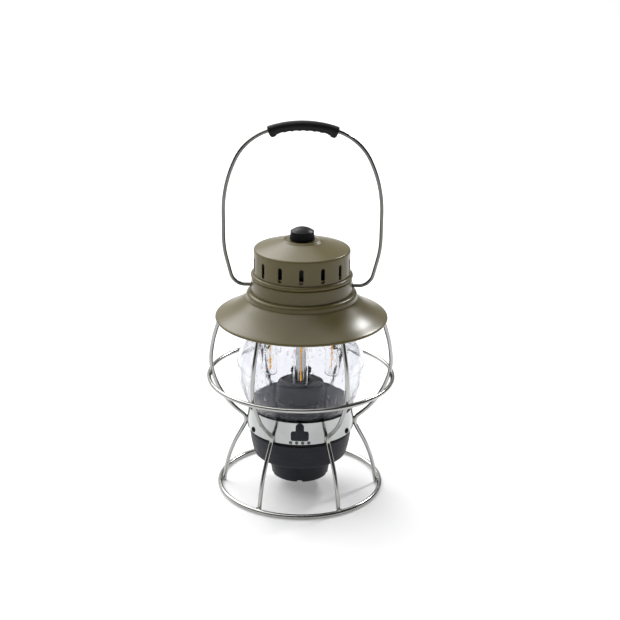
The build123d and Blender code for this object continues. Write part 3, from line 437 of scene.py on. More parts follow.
def moulded(name, dark, light, roughness, grain=0.03, scale=1500, **inputs):
    """Moulded plastic or rubber with a fine spark-eroded texture."""
    look = Look(name, light, roughness, **inputs)
    look.link("Base Color", look.tint(look.noise(45, 4), (0.3, dark), (0.7, light)))
    look.link("Roughness", look.span(look.noise(220, 2, offset=2.0), roughness - 0.05, roughness + 0.08))
    look.bump(look.noise(scale, 2, offset=7.0), grain, 0.5)
    return look.material


def glass(name, colour, ior, streaks=()):
    """Clear glass that lets light through to what is behind it. A streak is the scale and stretch of a noise,
    its depth in millimetres, an offset, and the noise values between which the streak rises."""
    look = Look(name, colour, 0.0, Transmission_Weight=1.0, IOR=ior,
                Specular_Tint=(0.48, 0.49, 0.53, 1))
    if streaks:
        # full depth near the globe's foot and on its shoulder, faint on the belly between them
        height = look.z()
        lower = look.span(height, 1.0, 0.08, 0.112, 0.122)
        upper = look.span(height, 0.0, 1.0, 0.146, 0.156)
        share = look.math("MAXIMUM", lower, upper)
        for scale, stretch, depth, offset, low, high in streaks:
            drawn = look.span(look.noise(scale, 2, stretch, offset=offset), 0.0, 1.0, low, high)
            look.bump(look.math("MULTIPLY", drawn, share), depth)
    tree = look.tree
    output = tree.nodes["Material Output"]
    clear = tree.nodes.new("ShaderNodeBsdfTransparent")
    clear.inputs["Color"].default_value = (*[c ** 0.5 for c in colour], 1)
    blend = tree.nodes.new("ShaderNodeMixShader")
    tree.links.new(tree.nodes.new("ShaderNodeLightPath").outputs["Is Shadow Ray"], blend.inputs[0])
    tree.links.new(look.shader.outputs[0], blend.inputs[1])
    tree.links.new(clear.outputs[0], blend.inputs[2])
    tree.links.new(blend.outputs[0], output.inputs["Surface"])
    return look.material


LOOKS = {
    # a painted finish's third colour is its lighter edge colour, partly a painted edge highlight and partly
    # thinner paint
    "olive_paint": painted("olive_paint", (0.112, 0.092, 0.034), (0.126, 0.104, 0.040), (0.20, 0.17, 0.10),
                           0.30, 0.32),
    "black_paint": painted("black_paint", (0.006, 0.006, 0.007), (0.009, 0.009, 0.010), (0.03, 0.03, 0.03),
                           0.45, 0.15),
    "white_paint": painted("white_paint", (0.62, 0.61, 0.58), (0.70, 0.69, 0.66), (0.75, 0.74, 0.72),
                           0.35, 0.5),
    "cage_wire": metal("cage_wire", (0.38, 0.38, 0.365), (0.45, 0.45, 0.435), 0.20, (1, 1, 0.2), 0.006, 500),
    "bail_wire": metal("bail_wire", (0.14, 0.14, 0.13), (0.18, 0.18, 0.17), 0.17, (1, 1, 0.2), 0.006, 500),
    "band_steel": metal("band_steel", (0.38, 0.39, 0.385), (0.44, 0.45, 0.445), 0.14, (0.06, 0.06, 1), 0.003,
                        1800),
    "zinc_steel": metal("zinc_steel", (0.42, 0.42, 0.41), (0.58, 0.57, 0.55), 0.34),
    "tube_aluminium": metal("tube_aluminium", (0.80, 0.80, 0.81), (0.88, 0.88, 0.89), 0.38, (1, 1, 0.05),
                            0.006),
    "charcoal_plastic": moulded("charcoal_plastic", (0.022, 0.023, 0.030), (0.029, 0.030, 0.038), 0.42,
                                Specular_IOR_Level=0.15),
    "black_plastic": moulded("black_plastic", (0.010, 0.010, 0.011), (0.016, 0.016, 0.018), 0.36),
    "knob_plastic": moulded("knob_plastic", (0.003, 0.003, 0.004), (0.005, 0.005, 0.006), 0.34, 0.02,
                            Specular_IOR_Level=0.14),
    "grip_rubber": moulded("grip_rubber", (0.006, 0.006, 0.007), (0.010, 0.010, 0.011), 0.44, 0.04, 1800,
                           Specular_IOR_Level=0.18),
    "seal_rubber": moulded("seal_rubber", (0.006, 0.006, 0.007), (0.009, 0.009, 0.010), 0.40, 0.02,
                           Specular_IOR_Level=0.12),
    "cover_silicone": moulded("cover_silicone", (0.010, 0.013, 0.018), (0.014, 0.018, 0.025), 0.50, 0.02,
                              Specular_IOR_Level=0.25),
    "light_lens": moulded("light_lens", (0.010, 0.035, 0.022), (0.016, 0.052, 0.032), 0.22, 0.005,
                          Coat_Weight=0.6),
    "board_green": moulded("board_green", (0.010, 0.060, 0.030), (0.016, 0.085, 0.042), 0.40, 0.05, 700),
    "cell_wrap": moulded("cell_wrap", (0.030, 0.110, 0.300), (0.040, 0.140, 0.360), 0.34, 0.01),
    "cable_black": moulded("cable_black", (0.012, 0.012, 0.012), (0.020, 0.020, 0.020), 0.5, 0.02),
    "globe_glass": glass("globe_glass", (0.815, 0.820, 0.845), 1.48,
                         [(240, (1, 1, 0.08), 0.14, 0.0, 0.57, 0.67),
                          (60, (1, 1, 0.3), 0.05, 4.0, 0.57, 0.67),
                          (330, (1, 1, 0.14), 0.40, 9.0, 0.66, 0.72)]),
    "lamp_glass": glass("lamp_glass", (0.975, 0.98, 0.98), 1.18),
}


def filament_look():
    """Amber phosphor over a row of LED chips, its colour and glow rising and falling from chip to chip along
    the bar.
    """
    look = Look("filament_amber", (0.80, 0.40, 0.06), 0.45)
    chips = look.node("ShaderNodeTexWave", {"Vector": look.coords}, wave_type="BANDS", bands_direction="Z",
                      Scale=95.0, Distortion=0.3).outputs["Fac"]
    look.link("Base Color", look.tint(chips, (0.2, (0.72, 0.32, 0.035)), (0.8, (0.92, 0.52, 0.10))))
    look.set("Emission Color", (1.0, 0.48, 0.045, 1))
    look.link("Emission Strength", look.span(chips, 0.45, 0.85, 0.0, 1.0))
    look.bump(look.noise(1400, 2), 0.05, 0.5)
    return look.material


def deck_look_painted_shade_and_light():
    """Charcoal plastic with painted shade and painted light: nearly black on the deck's side wall under its
    rim as painted shade, and lighter grey on the puck as painted light from above.
    """
    look = Look("deck_plastic_painted_shade", (0.024, 0.025, 0.032), 0.42, Specular_IOR_Level=0.15)
    height = look.z()
    # painted shade: below the rim the side wall's colour and reflection are darkened
    side = look.span(height, 0.0, 1.0, 0.0898, 0.0904)
    cloud = look.tint(look.noise(45, 4), (0.3, (0.029, 0.030, 0.037)), (0.7, (0.036, 0.037, 0.046)))
    # painted light: the puck above the deck is given a lighter grey
    top = look.mix(look.span(height, 0.0, 1.0, 0.0925, 0.0945), cloud, (0.078, 0.080, 0.090))
    look.link("Base Color", look.mix(side, (0.003, 0.004, 0.007), top))
    look.link("Specular IOR Level", look.span(side, 0.04, 0.15, 0.0, 1.0))
    look.link("Roughness", look.span(look.noise(220, 2, offset=2.0), 0.37, 0.50))
    look.bump(look.noise(1500, 2, offset=7.0), 0.03, 0.5)
    return look.material


LOOKS["filament_amber"] = filament_look()

# every CAD node that stays in view takes its slot's material
for sub in frame["record"]["subparts"]:
    node = frame["nodes"].get(sub["node"])
    if node is not None:
        node.data.materials.clear()
        node.data.materials.append(LOOKS[sub["material_slot"]])
        smooth(node.data, 30)

# -------------------------------- cage

WIRE = LOOKS["cage_wire"]
UNDER_BRIM_R, UNDER_BRIM_Z, BRIM_FALL, CAGE_END_Z = 76.0, 181.3, 0.534, 170.0


def under_brim(part):
    """Flattens what would stand through the brim's sheet, at the cage's upper end."""
    verts = []
    for x, y, z in part[0]:
        limit = UNDER_BRIM_Z - BRIM_FALL * (sqrt(x * x + y * y) - UNDER_BRIM_R)
        verts.append((x, y, min(z, limit) if z > CAGE_END_Z else z))
    return verts, part[1]


def ring(name, radius, z, wire, node):
    section = arc((radius, z), wire / 2, 0, 360, 28)[:-1]
    piece(name, under_brim(turned(section, 360)), WIRE, "lantern", node)


BASE_RING_R, BASE_WIRE = 80.3, 4.8
GUARD_RING_R, GUARD_RING_Z, GUARD_WIRE = 90.0, 116.8, 4.44
TOP_RING_R, TOP_RING_Z, TOP_WIRE = 74.3, 181.3, 3.0
ring("base_ring_wire", BASE_RING_R, BASE_WIRE / 2, BASE_WIRE, "base_ring")
ring("guard_ring_wire", GUARD_RING_R, GUARD_RING_Z, GUARD_WIRE, "guard_ring")
ring("top_ring_wire", TOP_RING_R, TOP_RING_Z, TOP_WIRE, "cage_top_ring")

RIB_COUNT, RIB_R = 6, 2.0
rib_points = [(76.35, 0.4), (71.6, 31.9), (51.7, 69.6), (80.9, 93.8), (88.9, 129.0), (86.2, 151.0),
              (76.6, 183.4)]
rib_line = split(rounded(rib_points, [110, 9, 78, 50, 100], 2.5), 3.0)
# a weld's radius, height and distance to the side of its rib, then its size and its noise seed
WELD_SPOTS = [
    ((77.9, 3.2, 1.9), (1.0, 1.6, 0.9), 0),
    ((88.0, GUARD_RING_Z, 1.9), (0.9, 1.7, 0.9), 7),
    ((52.9, 69.2, 1.5), (0.7, 3.2, 0.9), 13),
    ((75.6, 179.6, 1.7), (0.8, 0.9, 0.8), 19),
]
welds = []
for i in range(RIB_COUNT):
    plane = upright(360 / RIB_COUNT * i)
    path = [plane @ Vector((r, z, 0)) for r, z in rib_line]
    side = plane.to_3x3() @ AXIS_Z
    piece(f"cage_rib_wire_{i + 1}", under_brim(swept(path, RIB_R, side, 24, 0.5)), WIRE, "lantern",
          f"cage_rib_{i + 1}")
    turn = plane.to_3x3()
    for k in (-1, 1):
        welds += [bead(plane @ Vector((r, z, aside * k)), size, seed + i + k, turn)
                  for (r, z, aside), size, seed in WELD_SPOTS]
piece("cage_welds", merge(*welds), WIRE, "lantern")

# waist band with its screw holes, charge light holes and socket windows
BAND_R, BAND_T, BAND_BOTTOM, BAND_TOP = 52.5, 0.8, 64.6, 87.4
SCREW_AZIMUTHS, SCREW_Z = (-150, -30, 90), 68.4
USB_Z, MICRO_Z, LIGHT_Z, LIGHT_PITCH, LIGHT_R = 73.4, 81.1, 66.7, 5.8, 1.75
PORT_BOTTOM = 69.0
LIGHTS = [LIGHT_PITCH * (k - 1.5) for k in range(4)]
band_section = rounded([(BAND_R - BAND_T, BAND_BOTTOM), (BAND_R, BAND_BOTTOM), (BAND_R, BAND_TOP),
                        (BAND_R - BAND_T, BAND_TOP)], 0.25, 20, True)
band = piece("band_sleeve", turned(band_section, 512), LOOKS["band_steel"], "lantern",
             "cage_band")
front = facing(FRONT)


def front_openings(inner, outer, usb, micro, screw_r):
    """Cutters for a wall behind the port cover, between two distances from the axis: the two sockets' windows,
    the hinge strip's slot, the lights and the screws. A window is given as its half width, its reach below and
    above the socket's middle and its corner radius."""
    windows = []
    for z, (half, below, above, edge) in ((USB_Z, usb), (MICRO_Z, micro)):
        windows.append(moved(box((-half, z - below, inner), (half, z + above, outer), edge), front))
    strip = moved(box((-3.0, PORT_BOTTOM + 0.1, inner), (3.0, PORT_BOTTOM + 0.9, outer)), front)
    lights = [moved(rod(LIGHT_R, inner, outer), facing(FRONT, 0, LIGHT_Z) @ Matrix.Translation((x, 0, 0)))
              for x in LIGHTS]
    screws = [moved(rod(screw_r, inner, outer), facing(a, 0, SCREW_Z)) for a in SCREW_AZIMUTHS]
    return [*windows, strip, *lights, *screws]


cut(band, *front_openings(49, 56, (6.9, 3.2, 3.2, 0.6), (3.85, 1.5, 1.5, 0.5), 1.6))
round_normals(band, (BAND_R, BAND_R - BAND_T))

# dome-headed screws on the band, with a cross recess
HEAD_R, HEAD_H = 3.0, 1.85
head_ball = (HEAD_R ** 2 + HEAD_H ** 2) / (2 * HEAD_H)
head = [(head_ball * sin(a), HEAD_H - head_ball * (1 - cos(a))) for a in [1.09 * k / 10 for k in range(11)]]
head += [(HEAD_R, 0.0), (1.5, 0.0), (1.4, -6.5), (0, -6.5)]
screw_piece = piece("band_screw_heads", merge(*[moved(turned(head, 48, False), facing(a, BAND_R, SCREW_Z))
                                                for a in SCREW_AZIMUTHS]),
                    LOOKS["black_paint"], "lantern", "band_screws")
arm, half = 1.5, 0.32
cross = [(half, half), (half, arm), (-half, arm), (-half, half), (-arm, half), (-arm, -half), (-half, -half),
         (-half, -arm), (half, -arm), (half, -half), (arm, -half), (arm, half)]
recess = loft([[(x, y, z) for x, y in cross] for z in (1.0, 3.0)])
cut(screw_piece, *[moved(recess, facing(a, BAND_R, SCREW_Z)) for a in SCREW_AZIMUTHS])

# -------------------------------- charging port

# charge light lenses, slightly domed
lens = [(0, -8.0), (LIGHT_R, -8.0), (LIGHT_R, -0.02), (LIGHT_R - 0.12, 0.08)]
lens += [(LIGHT_R * 0.9 * (1 - k / 6), 0.10 + 0.18 * (1 - (1 - k / 6) ** 2)) for k in range(7)]
piece("charge_light_lenses",
      merge(*[moved(turned(lens, 40, False), facing(degrees(x / BAND_R) + FRONT, BAND_R, LIGHT_Z))
              for x in LIGHTS]),
      LOOKS["light_lens"], "lantern", "light_pipes")


def wrapped(part, radius, step=0.8):
    """Bends a flat part round the band: X becomes arc length, Y height and Z distance from the wall."""
    bm = bmesh.new()
    made = [bm.verts.new(v) for v in part[0]]
    for face in part[1]:
        bm.faces.new([made[i] for i in face])
    reach = max(abs(v.co.x) for v in bm.verts)
    x = -reach + step / 2
    while x < reach:
        bmesh.ops.bisect_plane(bm, geom=bm.verts[:] + bm.edges[:] + bm.faces[:], plane_co=(x, 0, 0),
                               plane_no=(1, 0, 0))
        x += step
    bm.verts.index_update()
    verts = []
    for v in bm.verts:
        a = v.co.x / radius + radians(FRONT)
        verts.append(((radius + v.co.z) * cos(a), (radius + v.co.z) * sin(a), v.co.y))
    faces = [tuple(v.index for v in face.verts) for face in bm.faces]
    bm.free()
    return verts, faces


# port cover: T-shaped flap with a pull tab, a finger ring and two plugs behind it
COVER_T, PORT_SHOULDER, TAB_TOP = 1.0, 78.6, 87.0
COVER_HALF, TAB_HALF = 8.6, 4.0
tee = rounded([(-COVER_HALF, PORT_BOTTOM), (COVER_HALF, PORT_BOTTOM), (COVER_HALF, PORT_SHOULDER),
               (TAB_HALF, PORT_SHOULDER), (TAB_HALF, TAB_TOP), (-TAB_HALF, TAB_TOP),
               (-TAB_HALF, PORT_SHOULDER), (-COVER_HALF, PORT_SHOULDER)],
              [2.1, 2.1, 2.1, 1.2, 3.9, 3.9, 1.2, 2.1], 12, True)
usb_plug = rounded([(-5.25, 71.6), (5.25, 71.6), (5.25, 74.2), (-5.25, 74.2)], 0.6, 30, True)
micro_plug = rounded([(-2.3, 80.55), (2.3, 80.55), (2.3, 81.45), (-2.3, 81.45)], 0.3, 30, True)
grip_ring = turned(arc((2.0, 0.1), 0.42, -90, 270, 16)[:-1], 48)
flap = merge(slab(tee, 0.02, COVER_T, 0.45, 4),
             moved(grip_ring, Matrix.Translation((0, TAB_TOP - 4.2, COVER_T))),
             slab(usb_plug, -1.6, 0.3, 0.3), slab(micro_plug, -1.6, 0.3, 0.2))
piece("port_cover_flap", wrapped(flap, BAND_R), LOOKS["cover_silicone"], "cover",
      "port_cover")

# -------------------------------- base

# gasket between the band and the housing
HOUSING_TOP, HOUSING_FLOOR = 60.9, 36.0
seal_line = rounded([(47.6, HOUSING_TOP), (48.2, HOUSING_TOP), (48.2, 61.8), (51.0, 61.8), (51.0, 63.2),
                     (48.6, 63.2), (48.6, BAND_BOTTOM), (47.6, BAND_BOTTOM)], 0.15, 20, True)
piece("base_gasket", turned(seal_line, 320), LOOKS["seal_rubber"], "lantern", "base_seal")

# housing bowl: the outer wall carries four shallow moulded steps
POST_R, POST_AZIMUTHS = 39.0, (-135, -45, 90)
bowl = [(50.4, HOUSING_TOP), (50.1, 58.0), (49.6, 54.0), (49.05, 50.5), (48.5, 47.5), (47.75, 44.0),
        (46.95, 40.5), (46.2, 37.8)]


def bowl_radius(z):
    """The bowl's outer radius at a height, smoothly through its points."""
    pts = bowl[::-1]
    for (r0, z0), (r1, z1) in zip(pts, pts[1:]):
        if z <= z1:
            return r0 + (r1 - r0) * (z - z0) / (z1 - z0)
    return pts[-1][0]


STEP_HEIGHTS, STEP_DEPTH, STEP_WIDTH = (57.2, 52.4, 47.6, 42.8), 0.16, 0.42
bowl_line = []
z = 60.6
while z > 37.6:
    groove = sum(STEP_DEPTH * exp(-((z - s) / STEP_WIDTH) ** 2) for s in STEP_HEIGHTS)
    smooth_r = sum(bowl_radius(z + d) for d in (-1.2, -0.6, 0, 0.6, 1.2)) / 5
    bowl_line.append((smooth_r - groove, z))
    z -= 0.3
bowl_line = ([(48.5, HOUSING_TOP), (50.0, HOUSING_TOP)] + bowl_line
             + rounded([(45.95, 37.3), (45.3, HOUSING_FLOOR), (41.0, HOUSING_FLOOR)], 0.9, 15)
             + [(30.0, HOUSING_FLOOR), (0, HOUSING_FLOOR), (0, 38.0), (43.4, 38.0), (45.4, 42.2),
                (46.7, 48.6), (47.7, 55.0), (48.2, 59.4)])
housing = piece("housing_bowl", turned(bowl_line, 320), LOOKS["charcoal_plastic"], "lantern",
                "base_housing", 30)
posts = [Vector((POST_R * cos(radians(a)), POST_R * sin(radians(a)), 0)) for a in POST_AZIMUTHS]
cut(housing, *[moved(rod(2.9, 34, 39.0, 40), Matrix.Translation(p)) for p in posts], sharp=30)

# foot skirt with a notched rim
FOOT_TOP_R, FOOT_BOTTOM_R, FOOT_BOTTOM, NOTCH_COUNT = 32.0, 28.0, 13.0, 5
foot_line = rounded([(0, 35.95), (FOOT_TOP_R, 35.95), (FOOT_BOTTOM_R, FOOT_BOTTOM),
                     (FOOT_BOTTOM_R - 1.8, FOOT_BOTTOM), (FOOT_TOP_R - 2.0, 34.0), (0, 34.0)],
                    [0, 0.4, 0.5, 0.5, 0.8, 0], 20, True)
foot = piece("foot_skirt", turned(foot_line, 240), LOOKS["charcoal_plastic"], "lantern",
             "base_foot")
NOTCH_HALF, NOTCH_R = 2.9, 1.8
stadium = [(NOTCH_HALF - NOTCH_R + NOTCH_R * cos(radians(a)), NOTCH_R * sin(radians(a)))
           for a in range(-90, 91, 15)]
stadium += [(-x, -y) for x, y in stadium]
notch = loft([[(x, y, zz) for x, y in stadium] for zz in (20, 32)])
cut(foot, *[moved(notch, facing(FRONT + 360 / NOTCH_COUNT * k, 0, FOOT_BOTTOM)) for k in range(NOTCH_COUNT)],
    *[moved(rod(1.5, 30, 36), Matrix.Translation((20 * cos(radians(a)), 20 * sin(radians(a)), 0)))
      for a in (90, 210, 330)])

# -------------------------------- deck inside the globe

BAND_IN_R, LEDGE_Z, DECK_R, DECK_TOP = BAND_R - BAND_T, 83.0, 47.0, 91.0
PUCK_R, PUCK_TOP, TUBE_R, DECK_WALL = 22.5, 109.0, 6.3, 2.2
deck_outer = rounded([(BAND_IN_R - 0.02, BAND_BOTTOM), (BAND_IN_R - 0.02, LEDGE_Z), (DECK_R, LEDGE_Z),
                      (DECK_R, DECK_TOP), (45.2, DECK_TOP + 0.25), (44.2, DECK_TOP - 0.35),
                      (36.6, DECK_TOP - 0.35), (36.0, DECK_TOP + 0.15), (PUCK_R + 0.7, DECK_TOP),
                      (PUCK_R + 0.45, 94.0), (PUCK_R + 0.15, 94.4), (PUCK_R, PUCK_TOP), (19.5, PUCK_TOP),
                      (19.2, PUCK_TOP - 0.4), (18.6, PUCK_TOP - 0.4), (18.3, PUCK_TOP), (TUBE_R, PUCK_TOP)],
                     [0.6, 0.3, 0.9, 0.3, 0.3, 0.3, 0.3, 1.2, 0.2, 0.2, 1.1, 0.1, 0.1, 0.1, 0.1], 14)
inner = rounded([(BAND_IN_R - DECK_WALL, BAND_BOTTOM), (BAND_IN_R - DECK_WALL, LEDGE_Z - DECK_WALL),
                 (DECK_R - DECK_WALL, LEDGE_Z - DECK_WALL), (DECK_R - DECK_WALL, DECK_TOP - DECK_WALL - 0.4),
                 (PUCK_R - 2, DECK_TOP - DECK_WALL - 0.4), (PUCK_R - DECK_WALL, PUCK_TOP - DECK_WALL),
                 (TUBE_R, PUCK_TOP - DECK_WALL)], 0.4, 30)
deck = piece("deck_moulding", turned(deck_outer + inner[::-1], 256), deck_look_painted_shade_and_light(), "lantern",
             "base_deck", 30)
cut(deck, *front_openings(47, 55, (7.1, 3.4, 3.4, 0.0), (4.5, 3.6, 1.8, 0.0), 1.4), sharp=30)

# -------------------------------- globe

GLASS_T, GLOBE_R, WIDEST_Z, FOOT_R, FOOT_Z, NECK_R, GLOBE_TOP = 2.2, 62.8, 128.5, 51.0, 85.0, 43.0, 183.0
SWELL_R, SHOULDER_ARC_R, BEND_H = 75.0, 30.0, 7.0


def globe_face(inset):
    """One face of the glass from its foot up to the neck's rim."""
    swell = arc((GLOBE_R - SWELL_R, WIDEST_Z), SWELL_R - inset, -29, 0, 22)
    shoulder = arc((GLOBE_R - SHOULDER_ARC_R, WIDEST_Z), SHOULDER_ARC_R - inset, 0, 62, 26)[1:]
    r0, z0 = shoulder[-1]
    neck_r = NECK_R - inset
    bend = []
    for k in range(1, 9):
        t = k / 8
        leaning_r = r0 - (6.0 * t) * 0.62
        bend.append((neck_r + (leaning_r - neck_r) * (1 - t) ** 1.6 if k < 8 else neck_r, z0 + BEND_H * t))
    foot = [(FOOT_R - inset, FOOT_Z), (FOOT_R - inset, FOOT_Z + 2.0)]
    return split(foot + swell, 3.0) + shoulder + split(bend + [(neck_r, GLOBE_TOP)], 3.0)


outer_face, inner_face = globe_face(0.0), globe_face(GLASS_T)
outer_count = len(outer_face)


def ripple(angle, index, height):
    """The unevenness of blown glass, stronger on its inner face, drawn out up the wall."""
    if index < outer_count or height < FOOT_Z + 3 or height > GLOBE_TOP - 3:
        return 0.0
    return 0.05 * noise.noise(Vector((cos(angle) * 9, sin(angle) * 9, height * 0.018)))


piece("globe_glass_shell", turned(outer_face + inner_face[::-1], 360, True, ripple), LOOKS["globe_glass"],
      "lantern", "glass_globe", 50)

# -------------------------------- lamps

LAMP_COUNT, LAMP_RADIUS, LAMP_R, LAMP_BOTTOM, LAMP_TOP, LAMP_WALL = 4, 30.0, 7.0, 117.0, 184.0, 0.5
tube_outer = rounded([(0, LAMP_BOTTOM), (LAMP_R, LAMP_BOTTOM), (LAMP_R, LAMP_TOP)], 2.6, 10)
tube_inner = rounded([(0, LAMP_BOTTOM + LAMP_WALL), (LAMP_R - LAMP_WALL, LAMP_BOTTOM + LAMP_WALL),
                      (LAMP_R - LAMP_WALL, LAMP_TOP)], 2.1, 10)
tube_line = tube_outer + tube_inner[::-1]
FILAMENT_BOTTOM, FILAMENT_TOP, FILAMENT_ROWS, LEAD_R = 121.5, 165.5, 56, 0.4
bar = rounded([(-0.9, -0.42), (0.9, -0.42), (0.9, 0.42), (-0.9, 0.42)], 0.36, 18, True)
lead_path = [(0, 0, FILAMENT_TOP - 0.5), (0, 0, 170.0), (0, 0, LAMP_TOP)]
for i in range(LAMP_COUNT):
    a = radians(FRONT + 360 / LAMP_COUNT * i)
    place = Matrix.Translation((LAMP_RADIUS * cos(a), LAMP_RADIUS * sin(a), 0))
    piece(f"lamp_glass_{i + 1}", moved(turned(tube_line, 64), place), LOOKS["lamp_glass"], "lantern",
          f"lamp_tube_{i + 1}", 40)
    # the bar makes nearly half a turn, with thinner ends, and each lamp's starts at another angle
    rings = []
    for k in range(FILAMENT_ROWS + 1):
        z = FILAMENT_BOTTOM + (FILAMENT_TOP - FILAMENT_BOTTOM) * k / FILAMENT_ROWS
        twist = 0.9 * pi * k / FILAMENT_ROWS + i * 0.8 + 0.3
        fat = 1.0 - 0.5 * exp(-min(k, FILAMENT_ROWS - k) / 0.6)
        c, s = fat * cos(twist), fat * sin(twist)
        rings.append([(x * c - y * s, x * s + y * c, z) for x, y in bar])
    filament = merge(loft(rings), swept(lead_path, LEAD_R, Vector((1, 0, 0)), 12))
    piece(f"filament_bar_{i + 1}", moved(filament, place), LOOKS["filament_amber"], "lantern",
          f"filament_{i + 1}", 40)

# centre tube and the collet that grips its foot
tube_wall = rounded([(TUBE_R, 106.8), (TUBE_R, 192.0), (TUBE_R - 1, 192.0), (TUBE_R - 1, 106.8)], 0.2, 30,
                    True)
piece("centre_tube_sleeve", turned(split(tube_wall, 6.0, True), 96), LOOKS["tube_aluminium"], "lantern",
      "centre_tube")
COLLET_IN_R, COLLET_R = TUBE_R + 0.05, 10.6
collar_ring = turned(rounded([(COLLET_IN_R, PUCK_TOP + 0.02), (COLLET_R, PUCK_TOP + 0.02),
                              (COLLET_R, PUCK_TOP + 2.4), (COLLET_IN_R, PUCK_TOP + 2.4)], [0, 0.3, 0.8, 0],
                             20, True), 96)
finger = rounded([(COLLET_IN_R, 110), (10.2, 110), (8.7, 113), (8.6, 118.4), (10.8, 121.2), (10.0, 123.4),
                  (7.6, 122.9), (COLLET_IN_R, 119)], [0.1, 0.5, 2.0, 3.0, 0.9, 0.8, 1.0, 0.5], 15, True)
fingers = [moved(slab(finger, -2.1, 2.1, 0.35), upright(60 * k + 30)) for k in range(6)]
piece("tube_collet_fingers", merge(collar_ring, *fingers), LOOKS["black_plastic"], "lantern",
      "tube_collet", 40)

# -------------------------------- roof

OLIVE = LOOKS["olive_paint"]
SHEET = 0.8
BRIM_R, BRIM_BEAD_Z, BRIM_BEAD = 83.3, 178.05, 1.45
SHOULDER_R, SHOULDER_Z = 53.3, 204.0
COLLAR_R, COLLAR_TOP, COLLAR_NECK_R = 48.3, 217.8, 44.0

# brim: a rolled edge, the dished slope, the upright shoulder and the flat step, in one spun sheet
roll = arc((BRIM_R - BRIM_BEAD, BRIM_BEAD_Z), BRIM_BEAD, -160, 62, 16)
slope = rounded([(81.2, 179.75), (67.5, 186.7), (SHOULDER_R, 197.7), (SHOULDER_R, SHOULDER_Z),
                 (46.0, SHOULDER_Z)], [90, 2.2, 3.4], 3)
outer = roll + slope[1:]
under = shifted(slope, SHEET)[::-1]
piece("roof_brim_sheet", turned(split(outer, 2.5) + split(under, 2.5)[:-2], 320), OLIVE, "lantern",
      "roof_brim", 40)
collar_section = sheet([(COLLAR_R, SHOULDER_Z + 0.02), (COLLAR_R, COLLAR_TOP), (COLLAR_NECK_R, COLLAR_TOP),
                        (COLLAR_NECK_R, 226.5)], [1.4, 1.0], SHEET, 12)
piece("roof_collar_sheet", turned(split(collar_section, 2.5, True), 288), OLIVE, "lantern",
      "roof_collar", 40)

# vent cap: the drum's wall is built sector by sector round its slots
CAP_R, CAP_BEAD_Z, CAP_EDGE_Z, CAP_SEAT_Z = 46.2, 219.9, 245.8, 254.2
SLOTS, SLOT_LENGTH, SLOT_WIDTH, SLOT_Z = 14, 14.4, 4.0, 231.2
WALL_LOW, WALL_HIGH, SLOT_LIP = 222.6, 239.8, 0.45
COLUMNS, ROWS = 20, 12


def slot_sector(azimuth):
    """One sector of the drum's wall, with a slot whose edges are rounded inward."""
    half = pi * CAP_R / SLOTS

    def boundary():
        out = [(half - 2 * half * k / COLUMNS, WALL_HIGH) for k in range(COLUMNS)]
        out += [(-half, WALL_HIGH - (WALL_HIGH - WALL_LOW) * k / ROWS) for k in range(ROWS)]
        out += [(-half + 2 * half * k / COLUMNS, WALL_LOW) for k in range(COLUMNS)]
        return out + [(half, WALL_LOW + (WALL_HIGH - WALL_LOW) * k / ROWS) for k in range(ROWS)]

    def slot(grow):
        r, reach = SLOT_WIDTH / 2 + grow, SLOT_LENGTH / 2 - SLOT_WIDTH / 2
        bends = [(r * cos(pi * k / COLUMNS), r * sin(pi * k / COLUMNS)) for k in range(COLUMNS)]
        out = [(u, SLOT_Z + reach + v) for u, v in bends]
        out += [(-r, SLOT_Z + reach - 2 * reach * k / ROWS) for k in range(ROWS)]
        out += [(-u, SLOT_Z - reach - v) for u, v in bends]
        return out + [(r, SLOT_Z - reach + 2 * reach * k / ROWS) for k in range(ROWS)]

    def ring(line, depth):
        a0 = radians(azimuth)
        r = CAP_R - depth
        return [(r * cos(a0 + u / CAP_R), r * sin(a0 + u / CAP_R), z) for u, z in line]

    edge = boundary()
    rings = []
    for depth, shares in ((0.0, (1.0, 0.8, 0.55, 0.3, 0.12)), (SHEET, (0.12, 0.3, 0.55, 0.8, 1.0))):
        lip = slot(SLOT_LIP)
        rows = [ring([(a[0] + (b[0] - a[0]) * s, a[1] + (b[1] - a[1]) * s) for a, b in zip(lip, edge)], depth)
                for s in shares]
        if depth == 0.0:
            curve = [(SLOT_LIP * (1 - sin(a)), SLOT_LIP * (1 - cos(a)))
                     for a in (0.0, 0.45, 0.9, 1.3, pi / 2)]
            rows += [ring(slot(grow), deep) for grow, deep in curve] + [ring(slot(0.0), SHEET)]
        else:
            rows = [ring(lip, SHEET)] + rows
        rings += rows
    return loft(rings, caps=False)


cap_line = rounded([(CAP_R, WALL_HIGH), (CAP_R, CAP_EDGE_Z), (19.6, 253.6), (17.6, 255.4), (15.6, CAP_SEAT_Z),
                    (3.6, CAP_SEAT_Z)], [2.0, 1.4, 1.1, 1.0], 7)
cap_top = split(cap_line, 2.5) + split(shifted(cap_line, SHEET), 2.5)[::-1]
bead_arc = arc((CAP_R + 0.6, CAP_BEAD_Z), 2.2, -72, 106, 18)
cap_foot = ([(CAP_R - SHEET, WALL_LOW), (CAP_R - SHEET, COLLAR_TOP + 0.02), (CAP_R + 0.9, COLLAR_TOP + 0.02)]
            + bead_arc + [(CAP_R, WALL_LOW)])
columns = SLOTS * COLUMNS
sectors = [slot_sector(FRONT + 360 / SLOTS * k) for k in range(SLOTS)]
offset = Matrix.Rotation(radians(FRONT + 180 / SLOTS), 4, "Z")
piece("vent_cap_drum", merge(moved(turned(cap_top, columns, False), offset),
                             moved(turned(cap_foot, columns, False), offset), *sectors), OLIVE, "lantern",
      "vent_cap", 40)

# -------------------------------- dimmer knob

